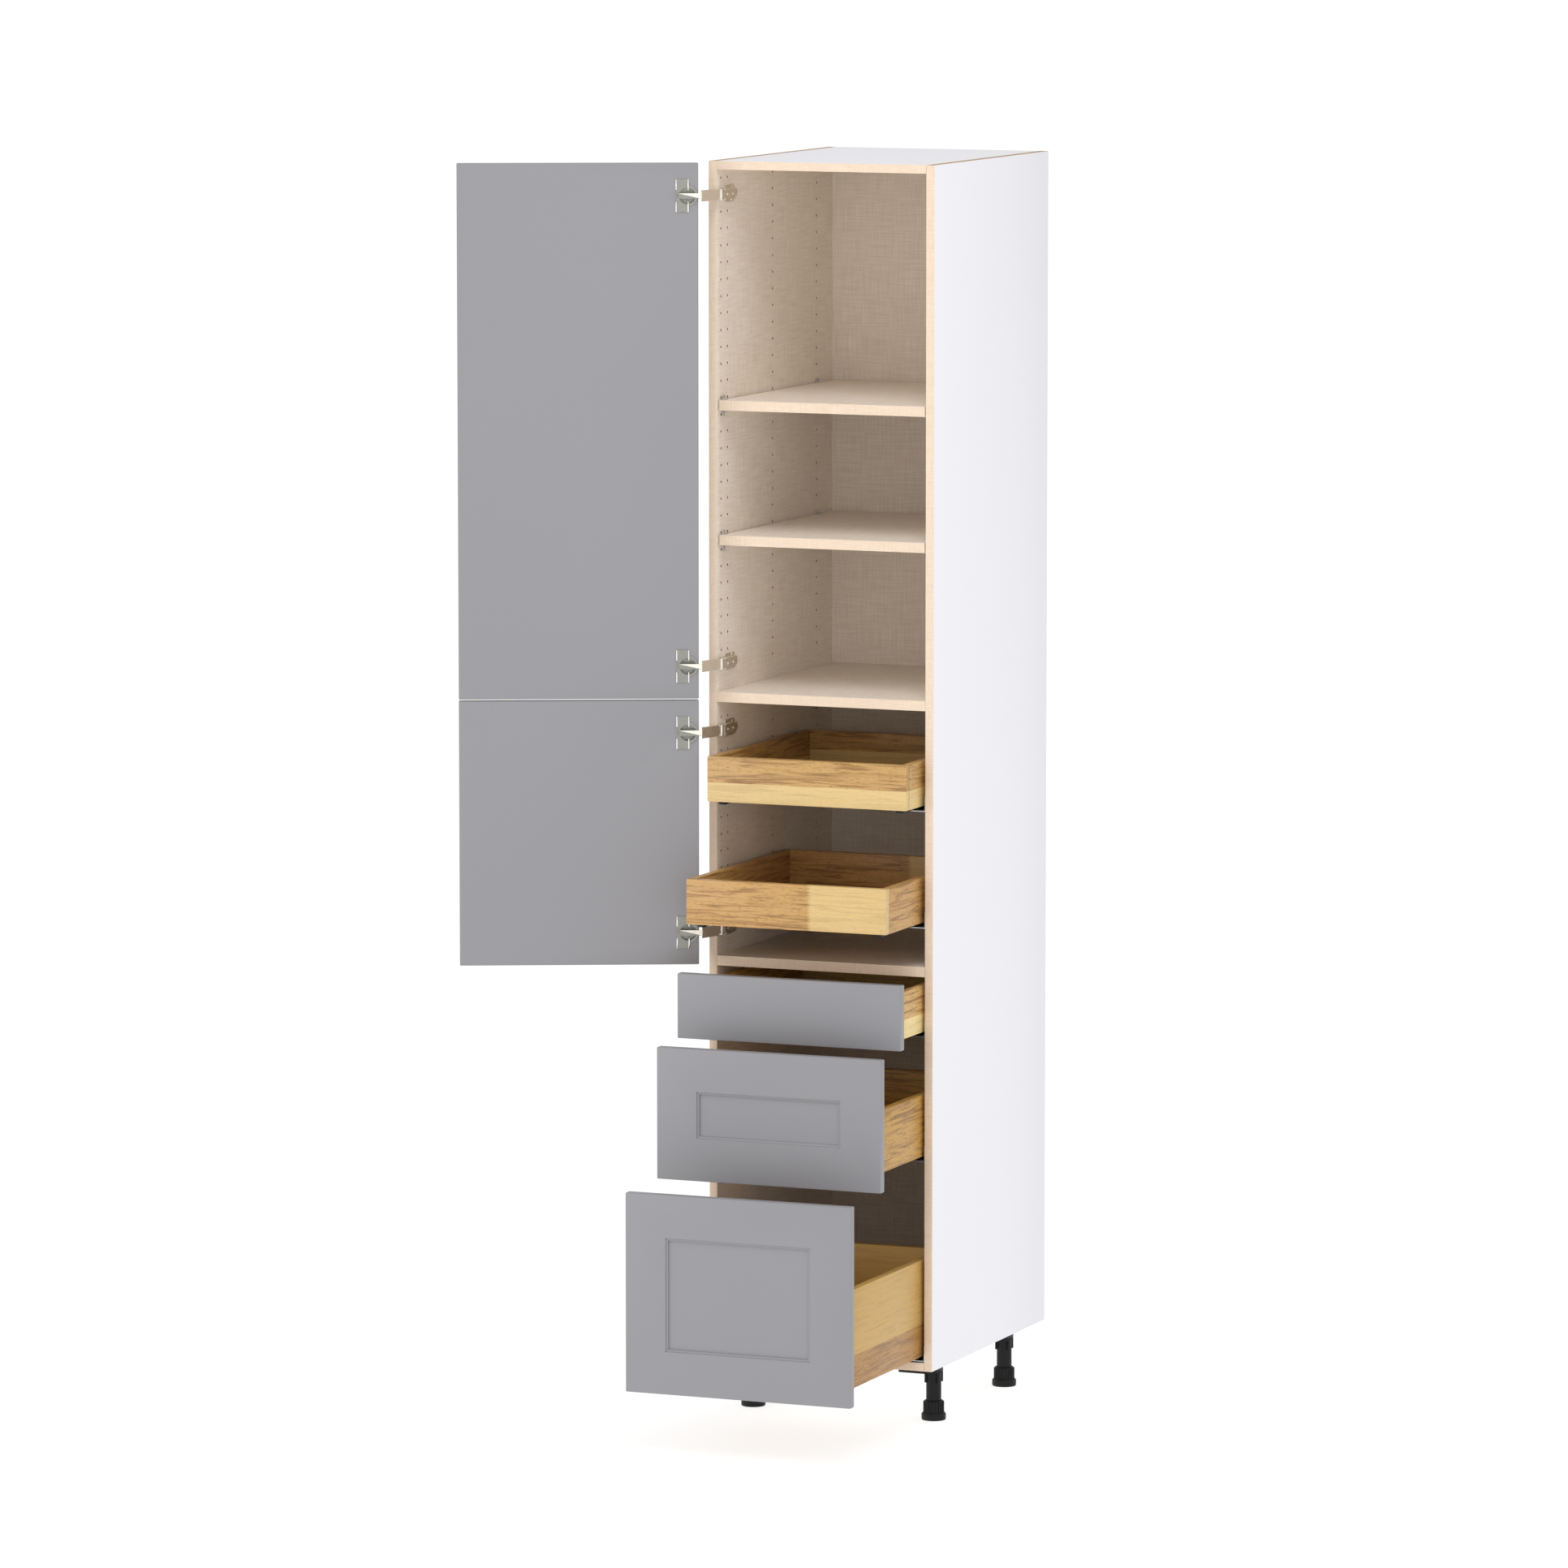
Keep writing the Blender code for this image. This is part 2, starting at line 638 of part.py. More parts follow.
def make_slides(name, low, runner_parent, runner_start, runner_length):
    """The two cabinet members on the walls, and the two runners between them and the box."""
    for side in ("left", "right"):
        mirrored = side == "right"

        def across(near, far):
            """Places a span measured from the near wall."""
            if mirrored:
                return WIDTH - far, WIDTH - near
            return near, far

        wall = PANEL + FIT
        span = across(wall, wall + SLIDE_REACH)
        web_low = low - SLIDE_DROP
        member = cuboid(
            f"{name}_slide_{side}",
            (span[0], SLIDE_START, web_low),
            (span[1], SLIDE_START + SLIDE_LENGTH, web_low + SLIDE_SHEET),
            ROOT,
            ZINC,
        )
        span = across(wall, wall + SLIDE_SHEET)
        flange = cuboid(
            f"{name}_slide_{side}_flange",
            (span[0], SLIDE_START, web_low),
            (span[1], SLIDE_START + SLIDE_LENGTH, web_low + SLIDE_FLANGE),
            ROOT,
        )
        join(member, flange)
        near = PANEL + RUNNER_INSET
        span = across(near, near + RUNNER_WIDTH)
        cuboid(
            f"{name}_runner_{side}",
            (span[0], runner_start, web_low + SLIDE_SHEET + RUNNER_PLAY),
            (span[1], runner_start + runner_length, low + RUNNER_RISE),
            runner_parent,
            ZINC,
        )


def make_drawer(number):
    """A drawer front, its box and its slides."""
    name = f"drawer_{number + 1}"
    out = DRAWER_OPEN[number]
    low = FRONT_LOWS[number]
    carried = empty(name + "_slide_axis", (0, -out, 0), ROOT)
    make_front(name + "_front", low, low + FRONT_HEIGHTS[number], FRAMED[number], carried, GREY)
    back_of_front = empty(name + "_box_axis", (0, FIT - BUMPER, 0), carried)
    make_box(
        name + "_box",
        BOX_LEFT,
        BOX_RIGHT,
        BOX_LENGTH,
        BOX_LIFT[number],
        BOX_HEIGHTS[number],
        BOX_WALL,
        BOX_FLOOR,
        back_of_front,
    )
    runners = empty(name + "_runner_axis", (0, -out / 2, 0), ROOT)
    make_slides(name, BOX_LIFT[number], runners, RUNNER_START, RUNNER_LENGTH)


def make_tray(number):
    """A roll-out tray behind the lower door, and its slides."""
    name = f"tray_{number + 1}"
    carried = empty(name + "_slide_axis", (0, -TRAY_OUT[number], 0), ROOT)
    make_box(
        name,
        TRAY_LEFT,
        TRAY_RIGHT,
        TRAY_LENGTH,
        TRAY_LIFT[number],
        TRAY_HEIGHT,
        TRAY_FRONT,
        TRAY_FLOOR,
        carried,
    )
    runner_start = TRAY_FRONT + RUNNER_GAP
    runner_length = TRAY_LENGTH - TRAY_RUNNER_SHORT
    make_slides(name, TRAY_LIFT[number], carried, runner_start, runner_length)


make_carcass()
for leg_name, leg_x, leg_y, leg_inward in (
    ("leg_front_left", LEG_INSET, LEG_FRONT, 1),
    ("leg_front_right", WIDTH - LEG_INSET, LEG_FRONT, -1),
    ("leg_rear_left", LEG_INSET, DEPTH - LEG_REAR, 1),
    ("leg_rear_right", WIDTH - LEG_INSET, DEPTH - LEG_REAR, -1),
):
    make_leg(leg_name, leg_x, leg_y, leg_inward)
make_door("door_upper", *UPPER_DOOR, HINGE_HEIGHTS[:2])
make_door("door_lower", *LOWER_DOOR, HINGE_HEIGHTS[2:])
for hinge_number, hinge_height in enumerate(HINGE_HEIGHTS, 1):
    make_hinge(f"hinge_{hinge_number}", hinge_height)
for drawer_number in range(len(FRONT_HEIGHTS)):
    make_drawer(drawer_number)
for tray_number in range(len(TRAY_LIFT)):
    make_tray(tray_number)
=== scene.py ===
"""Looks of a tall pantry cabinet: boards, doors, hinges, wooden boxes, slides and levelling legs.

Shapes are built in the cabinet's own coordinates, from the front lower left corner of the
carcass: X to the right, Y to the back, Z up from the underside of the bottom panel. Each
finished piece is then moved to where the frame holds that part of the cabinet.
"""

import json
import logging
import math
from collections.abc import Callable, Iterable, Sequence
from dataclasses import dataclass, field
from enum import Enum

import bmesh
import bpy
from mathutils import Matrix, Vector


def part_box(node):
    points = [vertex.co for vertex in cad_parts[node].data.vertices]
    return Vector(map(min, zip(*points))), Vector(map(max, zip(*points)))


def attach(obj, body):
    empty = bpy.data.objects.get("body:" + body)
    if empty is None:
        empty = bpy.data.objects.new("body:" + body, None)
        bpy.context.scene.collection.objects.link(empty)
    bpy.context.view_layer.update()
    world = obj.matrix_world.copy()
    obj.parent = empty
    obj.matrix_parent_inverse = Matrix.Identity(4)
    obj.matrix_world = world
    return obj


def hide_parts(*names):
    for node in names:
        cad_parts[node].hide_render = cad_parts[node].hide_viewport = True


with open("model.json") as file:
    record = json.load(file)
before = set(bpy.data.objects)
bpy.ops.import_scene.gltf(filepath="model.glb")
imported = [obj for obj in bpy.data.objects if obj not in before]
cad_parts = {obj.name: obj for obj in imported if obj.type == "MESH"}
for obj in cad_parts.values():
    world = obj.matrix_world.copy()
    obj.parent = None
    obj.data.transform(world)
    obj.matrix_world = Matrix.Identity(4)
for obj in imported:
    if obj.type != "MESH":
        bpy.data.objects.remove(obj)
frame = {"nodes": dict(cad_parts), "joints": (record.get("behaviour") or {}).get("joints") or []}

MM = 0.001
LOG = logging.getLogger("pantry_cabinet")
Shape = bmesh.types.BMesh
Socket = bpy.types.NodeSocket
Colour = tuple[float, float, float, float]
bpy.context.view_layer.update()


def linear(code: str) -> Colour:
    """Turns an sRGB hex colour to linear light.

    Args:
        code: Six hex digits.

    Returns:
        Linear red, green and blue, with alpha 1.
    """
    parts = [int(code[i : i + 2], 16) / 255 for i in (0, 2, 4)]
    light = [c / 12.92 if c <= 0.04045 else ((c + 0.055) / 1.055) ** 2.4 for c in parts]
    return (*light, 1.0)


def add_node(
    tree: bpy.types.NodeTree, kind: str, inputs: dict | None = None, **settings: object
) -> bpy.types.Node:
    """Adds a shader node.

    Args:
        tree: The material's node tree.
        kind: The node's type.
        inputs: Values, or output sockets to join, by input name or number.
        settings: The node's own settings.

    Returns:
        The node.
    """
    node = tree.nodes.new(kind)
    for name, value in settings.items():
        setattr(node, name, value)
    for key, value in (inputs or {}).items():
        if isinstance(value, Socket):
            tree.links.new(value, node.inputs[key])
        else:
            node.inputs[key].default_value = value
    return node


class Plane(Enum):
    """Which way a woven face lies, as the scale of each axis along and across its threads."""

    WALL = ((0, 0.05, 1), (0, 1, 0.05))
    BACK = ((0.05, 0, 1), (1, 0, 0.05))
    SHELF = ((0.05, 1, 0), (1, 0.05, 0))


class Run(Enum):
    """The axis along which a board's grain runs."""

    ACROSS = 0
    DEEP = 1


@dataclass(frozen=True)
class Finish:
    """A surface finish. Each kind builds its own nodes in dress."""

    name: str
    colour: str
    roughness: float

    def dress(self, tree: bpy.types.NodeTree, shader: bpy.types.Node) -> None:
        """Adds the finish's own nodes. The plain one has none."""

    def material(self) -> bpy.types.Material:
        """Finds the finish's material, or makes it the first time.

        Returns:
            The material.
        """
        made = bpy.data.materials.get(self.name)
        if made:
            return made
        made = bpy.data.materials.new(self.name)
        made.use_nodes = True
        tree = made.node_tree
        shader = tree.nodes["Principled BSDF"]
        shader.inputs["Base Color"].default_value = linear(self.colour)
        shader.inputs["Roughness"].default_value = self.roughness
        made.diffuse_color = linear(self.colour)
        self.dress(tree, shader)
        return made

    def grain(self, tree: bpy.types.NodeTree, size: float, detail: float = 2.0) -> Socket:
        """Adds an even noise on Object coordinates.

        Args:
            tree: The material's node tree.
            size: The size of its grains, in metres.
            detail: Octaves of noise.

        Returns:
            The noise's socket.
        """
        place = add_node(tree, "ShaderNodeTexCoord").outputs["Object"]
        inputs = {"Vector": place, "Scale": 1 / size, "Detail": detail}
        return add_node(tree, "ShaderNodeTexNoise", inputs).outputs["Fac"]

    def streaks(
        self,
        tree: bpy.types.NodeTree,
        scales: Sequence[float],
        detail: float,
        bend: float = 0.0,
        shift: float = 0.0,
    ) -> Socket:
        """Adds a noise drawn out along an axis.

        Args:
            tree: The material's node tree.
            scales: Noise cells to the metre along X, Y and Z.
            detail: Octaves of noise.
            bend: How much the streaks wander.
            shift: How far along the noise is moved, in cells.

        Returns:
            The noise's socket.
        """
        place = add_node(tree, "ShaderNodeTexCoord").outputs["Object"]
        inputs = {"Vector": place, "Location": (shift, shift, shift), "Scale": tuple(scales)}
        drawn = add_node(tree, "ShaderNodeMapping", inputs).outputs["Vector"]
        inputs = {"Vector": drawn, "Scale": 1.0, "Detail": detail, "Distortion": bend}
        return add_node(tree, "ShaderNodeTexNoise", inputs).outputs["Fac"]

    def reckon(self, tree: bpy.types.NodeTree, operation: str, *terms: Socket | float) -> Socket:
        """Works out a sum of numbers and sockets.

        Args:
            tree: The material's node tree.
            operation: The kind of sum.
            terms: What goes into it, in order.

        Returns:
            The result's socket.
        """
        terms_by_number = dict(enumerate(terms))
        return add_node(tree, "ShaderNodeMath", terms_by_number, operation=operation).outputs[0]

    def spread(
        self,
        tree: bpy.types.NodeTree,
        value: Socket,
        onto: tuple[float, float],
        out_of: tuple[float, float] = (0.0, 1.0),
    ) -> Socket:
        """Spreads a value out of one range onto another, and holds it at the ends.

        Args:
            tree: The material's node tree.
            value: The value's socket.
            onto: The range it is spread onto.
            out_of: The range it comes from.

        Returns:
            The spread value's socket.
        """
        inputs = dict(enumerate((value, *out_of, *onto)))
        return add_node(tree, "ShaderNodeMapRange", inputs).outputs[0]

    def blend(
        self,
        tree: bpy.types.NodeTree,
        share: Socket | float,
        under: Socket | Colour,
        over: Socket | Colour,
        kind: str = "MIX",
    ) -> Socket:
        """Lays one colour over another.

        Args:
            tree: The material's node tree.
            share: How much of the upper colour shows.
            under: The lower colour.
            over: The upper colour.
            kind: The kind of mix.

        Returns:
            The colour's socket.
        """
        inputs = {0: share, 6: under, 7: over}
        mix = add_node(tree, "ShaderNodeMix", inputs, data_type="RGBA", blend_type=kind)
        return mix.outputs[2]

    def relief(
        self,
        tree: bpy.types.NodeTree,
        shader: bpy.types.Node,
        height: Socket,
        depth: float,
        strength: float,
    ) -> None:
        """Gives the shader a bump.

        Args:
            tree: The material's node tree.
            shader: The Principled shader.
            height: The height's socket.
            depth: The bump's depth, in metres.
            strength: Its strength, 0 to 1.
        """
        inputs = {"Height": height, "Distance": depth, "Strength": strength}
        bump = add_node(tree, "ShaderNodeBump", inputs).outputs["Normal"]
        tree.links.new(bump, shader.inputs["Normal"])


@dataclass(frozen=True)
class Melamine(Finish):
    """Paper-faced melamine board from a satin plate: a faint pebble under an even colour."""

    pebble: float = 1.4 * MM
    cloud: float = 90 * MM

    def dress(self, tree: bpy.types.NodeTree, shader: bpy.types.Node) -> None:
        """Adds the pebble and a little unevenness in the gloss."""
        self.relief(tree, shader, self.grain(tree, self.pebble), 0.05 * MM, 0.25)
        gloss = (self.roughness - 0.05, self.roughness + 0.06)
        clouded = self.spread(tree, self.grain(tree, self.cloud, 3.0), gloss)
        tree.links.new(clouded, shader.inputs["Roughness"])


@dataclass(frozen=True)
class Linen(Finish):
    """Melamine printed and pressed as linen: fine crossed threads, drawn coarse enough to show."""

    dark: str = "CDB8A2"
    plane: Plane = Plane.WALL
    thread: float = 3.2 * MM

    def dress(self, tree: bpy.types.NodeTree, shader: bpy.types.Node) -> None:
        """Crosses two sets of drawn-out threads."""
        warp, weft = (
            self.streaks(tree, [scale / self.thread for scale in scales], 2.5)
            for scales in self.plane.value
        )
        both = self.reckon(tree, "ADD", warp, weft)
        weave = self.spread(tree, both, (0.0, 1.0), (0.72, 1.28))
        colour = self.blend(tree, weave, linear(self.dark), linear(self.colour))
        tree.links.new(colour, shader.inputs["Base Color"])
        self.relief(tree, shader, weave, 0.1 * MM, 0.3)


@dataclass(frozen=True)
class Chipboard(Finish):
    """Sawn edge of particle board: tan flakes, light and dark, with open pits."""

    dark: str = "8A6A48"
    flake: float = 2.0 * MM

    def dress(self, tree: bpy.types.NodeTree, shader: bpy.types.Node) -> None:
        """Scatters flakes."""
        flakes = self.grain(tree, self.flake, 4.0)
        spread = self.spread(tree, flakes, (0.0, 1.0), (0.35, 0.65))
        colour = self.blend(tree, spread, linear(self.dark), linear(self.colour))
        tree.links.new(colour, shader.inputs["Base Color"])
        self.relief(tree, shader, flakes, 0.3 * MM, 0.5)


@dataclass(frozen=True)
class Paint(Finish):
    """Sprayed satin lacquer on board: an even colour with the softest orange peel."""

    peel: float = 2.5 * MM
    cloud: float = 160 * MM

    def dress(self, tree: bpy.types.NodeTree, shader: bpy.types.Node) -> None:
        """Adds the orange peel and slow changes of tone and gloss."""
        self.relief(tree, shader, self.grain(tree, self.peel, 1.0), 0.03 * MM, 0.2)
        cloud = self.grain(tree, self.cloud)
        tone = self.spread(tree, cloud, (0.985, 1.015))
        colour = self.blend(tree, 1.0, linear(self.colour), tone, "MULTIPLY")
        tree.links.new(colour, shader.inputs["Base Color"])
        gloss = self.spread(tree, cloud, (self.roughness - 0.03, self.roughness + 0.05))
        tree.links.new(gloss, shader.inputs["Roughness"])


@dataclass(frozen=True)
class Rubberwood(Finish):
    """Lacquered rubberwood glued up from strips of two tones, with straight grain and brown pores.

    A strip ends in a finger joint where a board has one.
    """

    dark: str = "B98F55"
    pore: str = "7E5428"
    run: Run = Run.ACROSS
    start: float = 0.0
    low: float = 0.0
    glue_line: float = 0.0
    joint: float = 9.0
    upper_is_dark: bool = True
    shift: float = 0.0
    finger_pitch: float = 3.5 * MM
    finger_slope: float = 5.0

    def marks(
        self, tree: bpy.types.NodeTree, along: float, over: float, detail: float, bend: float = 0.0
    ) -> Socket:
        """Adds marks that lie along the grain.

        Args:
            tree: The material's node tree.
            along: Their length.
            over: Their width.
            detail: Octaves of noise.
            bend: How much they wander.

        Returns:
            The marks' socket.
        """
        cells = [1 / over, 1 / over, 1 / over]
        cells[self.run.value] = 1 / along
        return self.streaks(tree, cells, detail, bend, self.shift)

    def tone(self, tree: bpy.types.NodeTree) -> Socket:
        """Works out which strip a point is on.

        Args:
            tree: The material's node tree.

        Returns:
            A socket that is 1 on a dark strip and 0 on a pale one.
        """
        place = add_node(tree, "ShaderNodeTexCoord").outputs["Object"]
        axes = add_node(tree, "ShaderNodeSeparateXYZ", {0: place}).outputs
        dark = self.reckon(tree, "GREATER_THAN", axes[2], self.low + self.glue_line)
        if not self.upper_is_dark:
            dark = self.reckon(tree, "SUBTRACT", 1.0, dark)
        zigzag = self.reckon(tree, "PINGPONG", axes[2], self.finger_pitch / 2)
        fingers = self.reckon(
            tree, "MULTIPLY_ADD", zigzag, self.finger_slope, self.start + self.joint
        )
        before = self.reckon(tree, "LESS_THAN", axes[self.run.value], fingers)
        return self.reckon(tree, "MULTIPLY", dark, before)

    def dress(self, tree: bpy.types.NodeTree, shader: bpy.types.Node) -> None:
        """Lays figure, fibre and pores over the strips, and lacquers them."""
        figure = self.marks(tree, 130 * MM, 7 * MM, 3.0, 1.1)
        fibre = self.marks(tree, 45 * MM, 1.6 * MM, 2.0)
        pores = self.marks(tree, 11 * MM, 1.5 * MM, 1.0)
        strip = self.tone(tree)
        base = self.blend(tree, strip, linear(self.colour), linear(self.dark))
        # Dark strips show their figure and pores most.
        weight = self.reckon(tree, "MULTIPLY_ADD", strip, 0.75, 0.25)
        depth = self.spread(tree, figure, (0.0, 0.72), (0.47, 0.66))
        shown = self.reckon(tree, "MULTIPLY", depth, weight)
        figured = self.blend(tree, shown, base, linear(self.pore))
        light = self.spread(tree, fibre, (0.9, 1.1))
        streaked = self.blend(tree, 1.0, figured, light, "MULTIPLY")
        pits = self.spread(tree, pores, (0.0, 0.7), (0.6, 0.7))
        pitted = self.reckon(tree, "MULTIPLY", pits, weight)
        wood = self.blend(tree, pitted, streaked, linear(self.pore))
        tree.links.new(wood, shader.inputs["Base Color"])
        self.relief(tree, shader, fibre, 0.1 * MM, 0.25)
        shader.inputs["Coat Weight"].default_value = 0.15
        shader.inputs["Coat Roughness"].default_value = 0.25


@dataclass(frozen=True)
class Metal(Finish):
    """Plated or galvanised steel: a clouded gloss, and spangle where the zinc is thick."""

    spangle: float = 0.0
    cloud: float = 6 * MM

    def dress(self, tree: bpy.types.NodeTree, shader: bpy.types.Node) -> None:
        """Clouds the gloss and breaks up the plating."""
        shader.inputs["Metallic"].default_value = 1.0
        gloss = (self.roughness * 0.7, self.roughness * 1.4)
        clouded = self.spread(tree, self.grain(tree, self.cloud, 3.0), gloss)
        tree.links.new(clouded, shader.inputs["Roughness"])
        if not self.spangle:
            return
        place = add_node(tree, "ShaderNodeTexCoord").outputs["Object"]
        inputs = {"Vector": place, "Scale": 1 / self.spangle}
        crystals = add_node(tree, "ShaderNodeTexVoronoi", inputs).outputs["Color"]
        grey = add_node(tree, "ShaderNodeRGBToBW", {0: crystals}).outputs[0]
        tone = self.spread(tree, grey, (0.88, 1.08))
        colour = self.blend(tree, 1.0, linear(self.colour), tone, "MULTIPLY")
        tree.links.new(colour, shader.inputs["Base Color"])


@dataclass(frozen=True)
class Plastic(Finish):
    """Moulded plastic with a fine spark-eroded grain, clear or coloured through."""

    clear: float = 0.0
    gloss: float = 0.5
    spark: float = 0.9 * MM

    def dress(self, tree: bpy.types.NodeTree, shader: bpy.types.Node) -> None:
        """Adds the mould's grain, and sets how much light passes and glints."""
        self.relief(tree, shader, self.grain(tree, self.spark), 0.06 * MM, 0.35)
        shader.inputs["Transmission Weight"].default_value = self.clear
        shader.inputs["Specular IOR Level"].default_value = self.gloss
        shader.inputs["IOR"].default_value = 1.5


@dataclass(frozen=True)
class Glow(Finish):
    """A floor lit from within, as a studio's light table is, so that shadows on it stay faint."""

    light: float = 0.78

    def dress(self, tree: bpy.types.NodeTree, shader: bpy.types.Node) -> None:
        """Sets the floor's own light."""
        shader.inputs["Emission Color"].default_value = linear("FFFFFF")
        shader.inputs["Emission Strength"].default_value = self.light


WHITE = Melamine("white_melamine", "F2F1F6", 0.42)
# The linen is the edge band's own laminate. These copies are drawn paler than the band as painted
# light for the deep inside: the shelf copy palest, the back copy least.
WALL_LINEN_LIT = Linen("linen_melamine_wall", "FAF1E6", 0.5, dark="E9DCCD")
BACK_LINEN_LIT = Linen("linen_melamine_back", "F5EBDF", 0.5, dark="E3D5C5", plane=Plane.BACK)
SHELF_LINEN_LIT = Linen("linen_melamine_shelf", "FBF2E8", 0.5, dark="EADDCE", plane=Plane.SHELF)
BAND = Linen("abs_edge_band", "F0DBC5", 0.45, dark="E2CAB1", plane=Plane.BACK, thread=1.6 * MM)
RAW_EDGE = Chipboard("particle_board_edge", "D9B98F", 0.85)
GREY = Paint("satin_grey_lacquer", "929195", 0.42)
NICKEL = Metal("nickel_plated_steel", "F2ECE0", 0.42)
# Nickel drawn dark as painted shade, for the hinge cups and the bar over them.
SHADED_NICKEL = Metal("matt_nickel_plate", "94948D", 0.4)
# Nickel drawn paler as a painted highlight, and glossier, for rolled edges, screws and upward
# faces.
HIGHLIT_NICKEL = Metal("burnished_nickel", "FBF8F0", 0.14)
ZINC = Metal("galvanised_steel", "C9CCD0", 0.34, spangle=5 * MM)
DARK_STEEL = Metal("phosphated_steel", "34363A", 0.45)
BLACK = Plastic("black_polypropylene", "141416", 0.5, gloss=0.25)
CLEAR = Plastic("frosted_polycarbonate", "EFE8E0", 0.28, clear=0.5)
# Painted shade for the insides of the shelf-pin holes.
HOLE_SHADE = Plastic("drilled_core", "8B7458", 0.9)


@dataclass(frozen=True)
class Place:
    """Where a sub-assembly is: the body it rides on and its transform from cabinet coordinates."""

    body: str
    matrix: Matrix


def block(shape: Shape, low: Sequence[float], high: Sequence[float]) -> list:
    """Adds a box between two corners.

    Args:
        shape: The mesh to add to.
        low: The lowest corner.
        high: The highest corner.

    Returns:
        Its vertices.
    """
    low, high = Vector(low), Vector(high)
    size = high - low
    matrix = Matrix.Translation((low + high) / 2) @ Matrix.Diagonal((*size, 1.0))
    return bmesh.ops.create_cube(shape, size=1.0, matrix=matrix)["verts"]


def rod(
    shape: Shape,
    centre: Sequence[float],
    radius: float,
    length: float,
    axis: str = "Z",
    sides: int = 24,
    end_radius: float | None = None,
) -> list:
    """Adds a round bar or a cone about its centre.

    Args:
        shape: The mesh to add to.
        centre: Its middle.
        radius: Its radius at the lower end.
        length: Its length.
        axis: X, Y or Z.
        sides: Its number of sides.
        end_radius: Its radius at the upper end, where that differs.

    Returns:
        Its vertices.
    """
    turn = {
        "X": Matrix.Rotation(math.pi / 2, 4, "Y"),
        "Y": Matrix.Rotation(-math.pi / 2, 4, "X"),
        "Z": Matrix.Identity(4),
    }[axis]
    return bmesh.ops.create_cone(
        shape,
        cap_ends=True,
        segments=sides,
        radius1=radius,
        radius2=radius if end_radius is None else end_radius,
        depth=length,
        matrix=Matrix.Translation(centre) @ turn,
    )["verts"]


def soften(shape: Shape, verts: Iterable, width: float, segments: int = 2) -> None:
    """Rounds every edge between some vertices.

    Args:
        shape: The mesh.
        verts: The vertices whose edges are rounded.
        width: The rounding's width.
        segments: Its number of segments.
    """
    chosen = set(verts)
    edges = [e for e in shape.edges if e.verts[0] in chosen and e.verts[1] in chosen]
    bmesh.ops.bevel(
        shape,
        geom=edges,
        offset=width,
        segments=segments,
        profile=0.5,
        affect="EDGES",
        material=-1,
    )


def bar(
    shape: Shape,
    start: Sequence[float],
    end: Sequence[float],
    sheet: float,
    low: float,
    high: float,
) -> list:
    """Adds a flat bar standing on its edge between two points in plan.

    Args:
        shape: The mesh to add to.
        start: X and Y of one end.
        end: X and Y of the other.
        sheet: The bar's thickness.
        low: Its lowest height.
        high: Its highest height.

    Returns:
        Its vertices.
    """
    run = Vector(end) - Vector(start)
    verts = block(shape, (0, -sheet / 2, low), (run.length, sheet / 2, high))
    turn = Matrix.Translation((start[0], start[1], 0)) @ Matrix.Rotation(
        math.atan2(run.y, run.x), 4, "Z"
    )
    bmesh.ops.transform(shape, matrix=turn, verts=verts)
    return verts


def finish_piece(
    shape: Shape,
    name: str,
    place: Place,
    finishes: Sequence[Finish],
    stands_for: Sequence[str] = (),
    sharp: float = 35.0,
) -> bpy.types.Object:
    """Turns a shape into a piece that rides on its body.

    Args:
        shape: The mesh, which is freed.
        name: The piece's name.
        place: Its body and transform.
        finishes: Its finishes, in the order of its material numbers.
        stands_for: CAD nodes that it replaces.
        sharp: Edges sharper than this many degrees stay sharp.

    Returns:
        The piece.
    """
    bmesh.ops.transform(shape, matrix=place.matrix, verts=shape.verts)
    mesh = bpy.data.meshes.new(name)
    shape.to_mesh(mesh)
    shape.free()
    piece = bpy.data.objects.new(name, mesh)
    bpy.context.scene.collection.objects.link(piece)
    for look in finishes:
        mesh.materials.append(look.material())
    mesh.shade_smooth()
    mesh.set_sharp_from_angle(angle=math.radians(sharp))
    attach(piece, place.body)
    if stands_for:
        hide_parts(*stands_for)
    LOG.info("%s: %d faces on %s", name, len(mesh.polygons), place.body)
    return piece


def carve(shape: Shape, tool: Shape) -> Shape:
    """Cuts one closed shape out of another.

    Args:
        shape: The shape to cut, which is freed.
        tool: The cutter, which is freed.

    Returns:
        What is left.
    """
    objects = []
    for source in (shape, tool):
        mesh = bpy.data.meshes.new("carving")
        source.to_mesh(mesh)
        source.free()
        made = bpy.data.objects.new("carving", mesh)
        bpy.context.scene.collection.objects.link(made)
        objects.append(made)
    body, cutter = objects
    step = body.modifiers.new("cut", "BOOLEAN")
    step.operation = "DIFFERENCE"
    step.solver = "EXACT"
    step.object = cutter
    graph = bpy.context.evaluated_depsgraph_get()
    carved = bmesh.new()
    carved.from_mesh(body.evaluated_get(graph).to_mesh())
    for made in objects:
        mesh = made.data
        bpy.data.objects.remove(made)
        bpy.data.meshes.remove(mesh)
    return carved


def dress_faces(
    mesh: bpy.types.Mesh, finishes: Sequence[Finish], rule: Callable[[Vector, Vector], int]
) -> None:
    """Gives each face of a mesh one of several finishes.

    Args:
        mesh: The mesh.
        finishes: The finishes.
        rule: Picks a finish's number from a face's normal and centre.
    """
    mesh.materials.clear()
    for look in finishes:
        mesh.materials.append(look.material())
    for face in mesh.polygons:
        face.material_index = rule(face.normal, face.center)


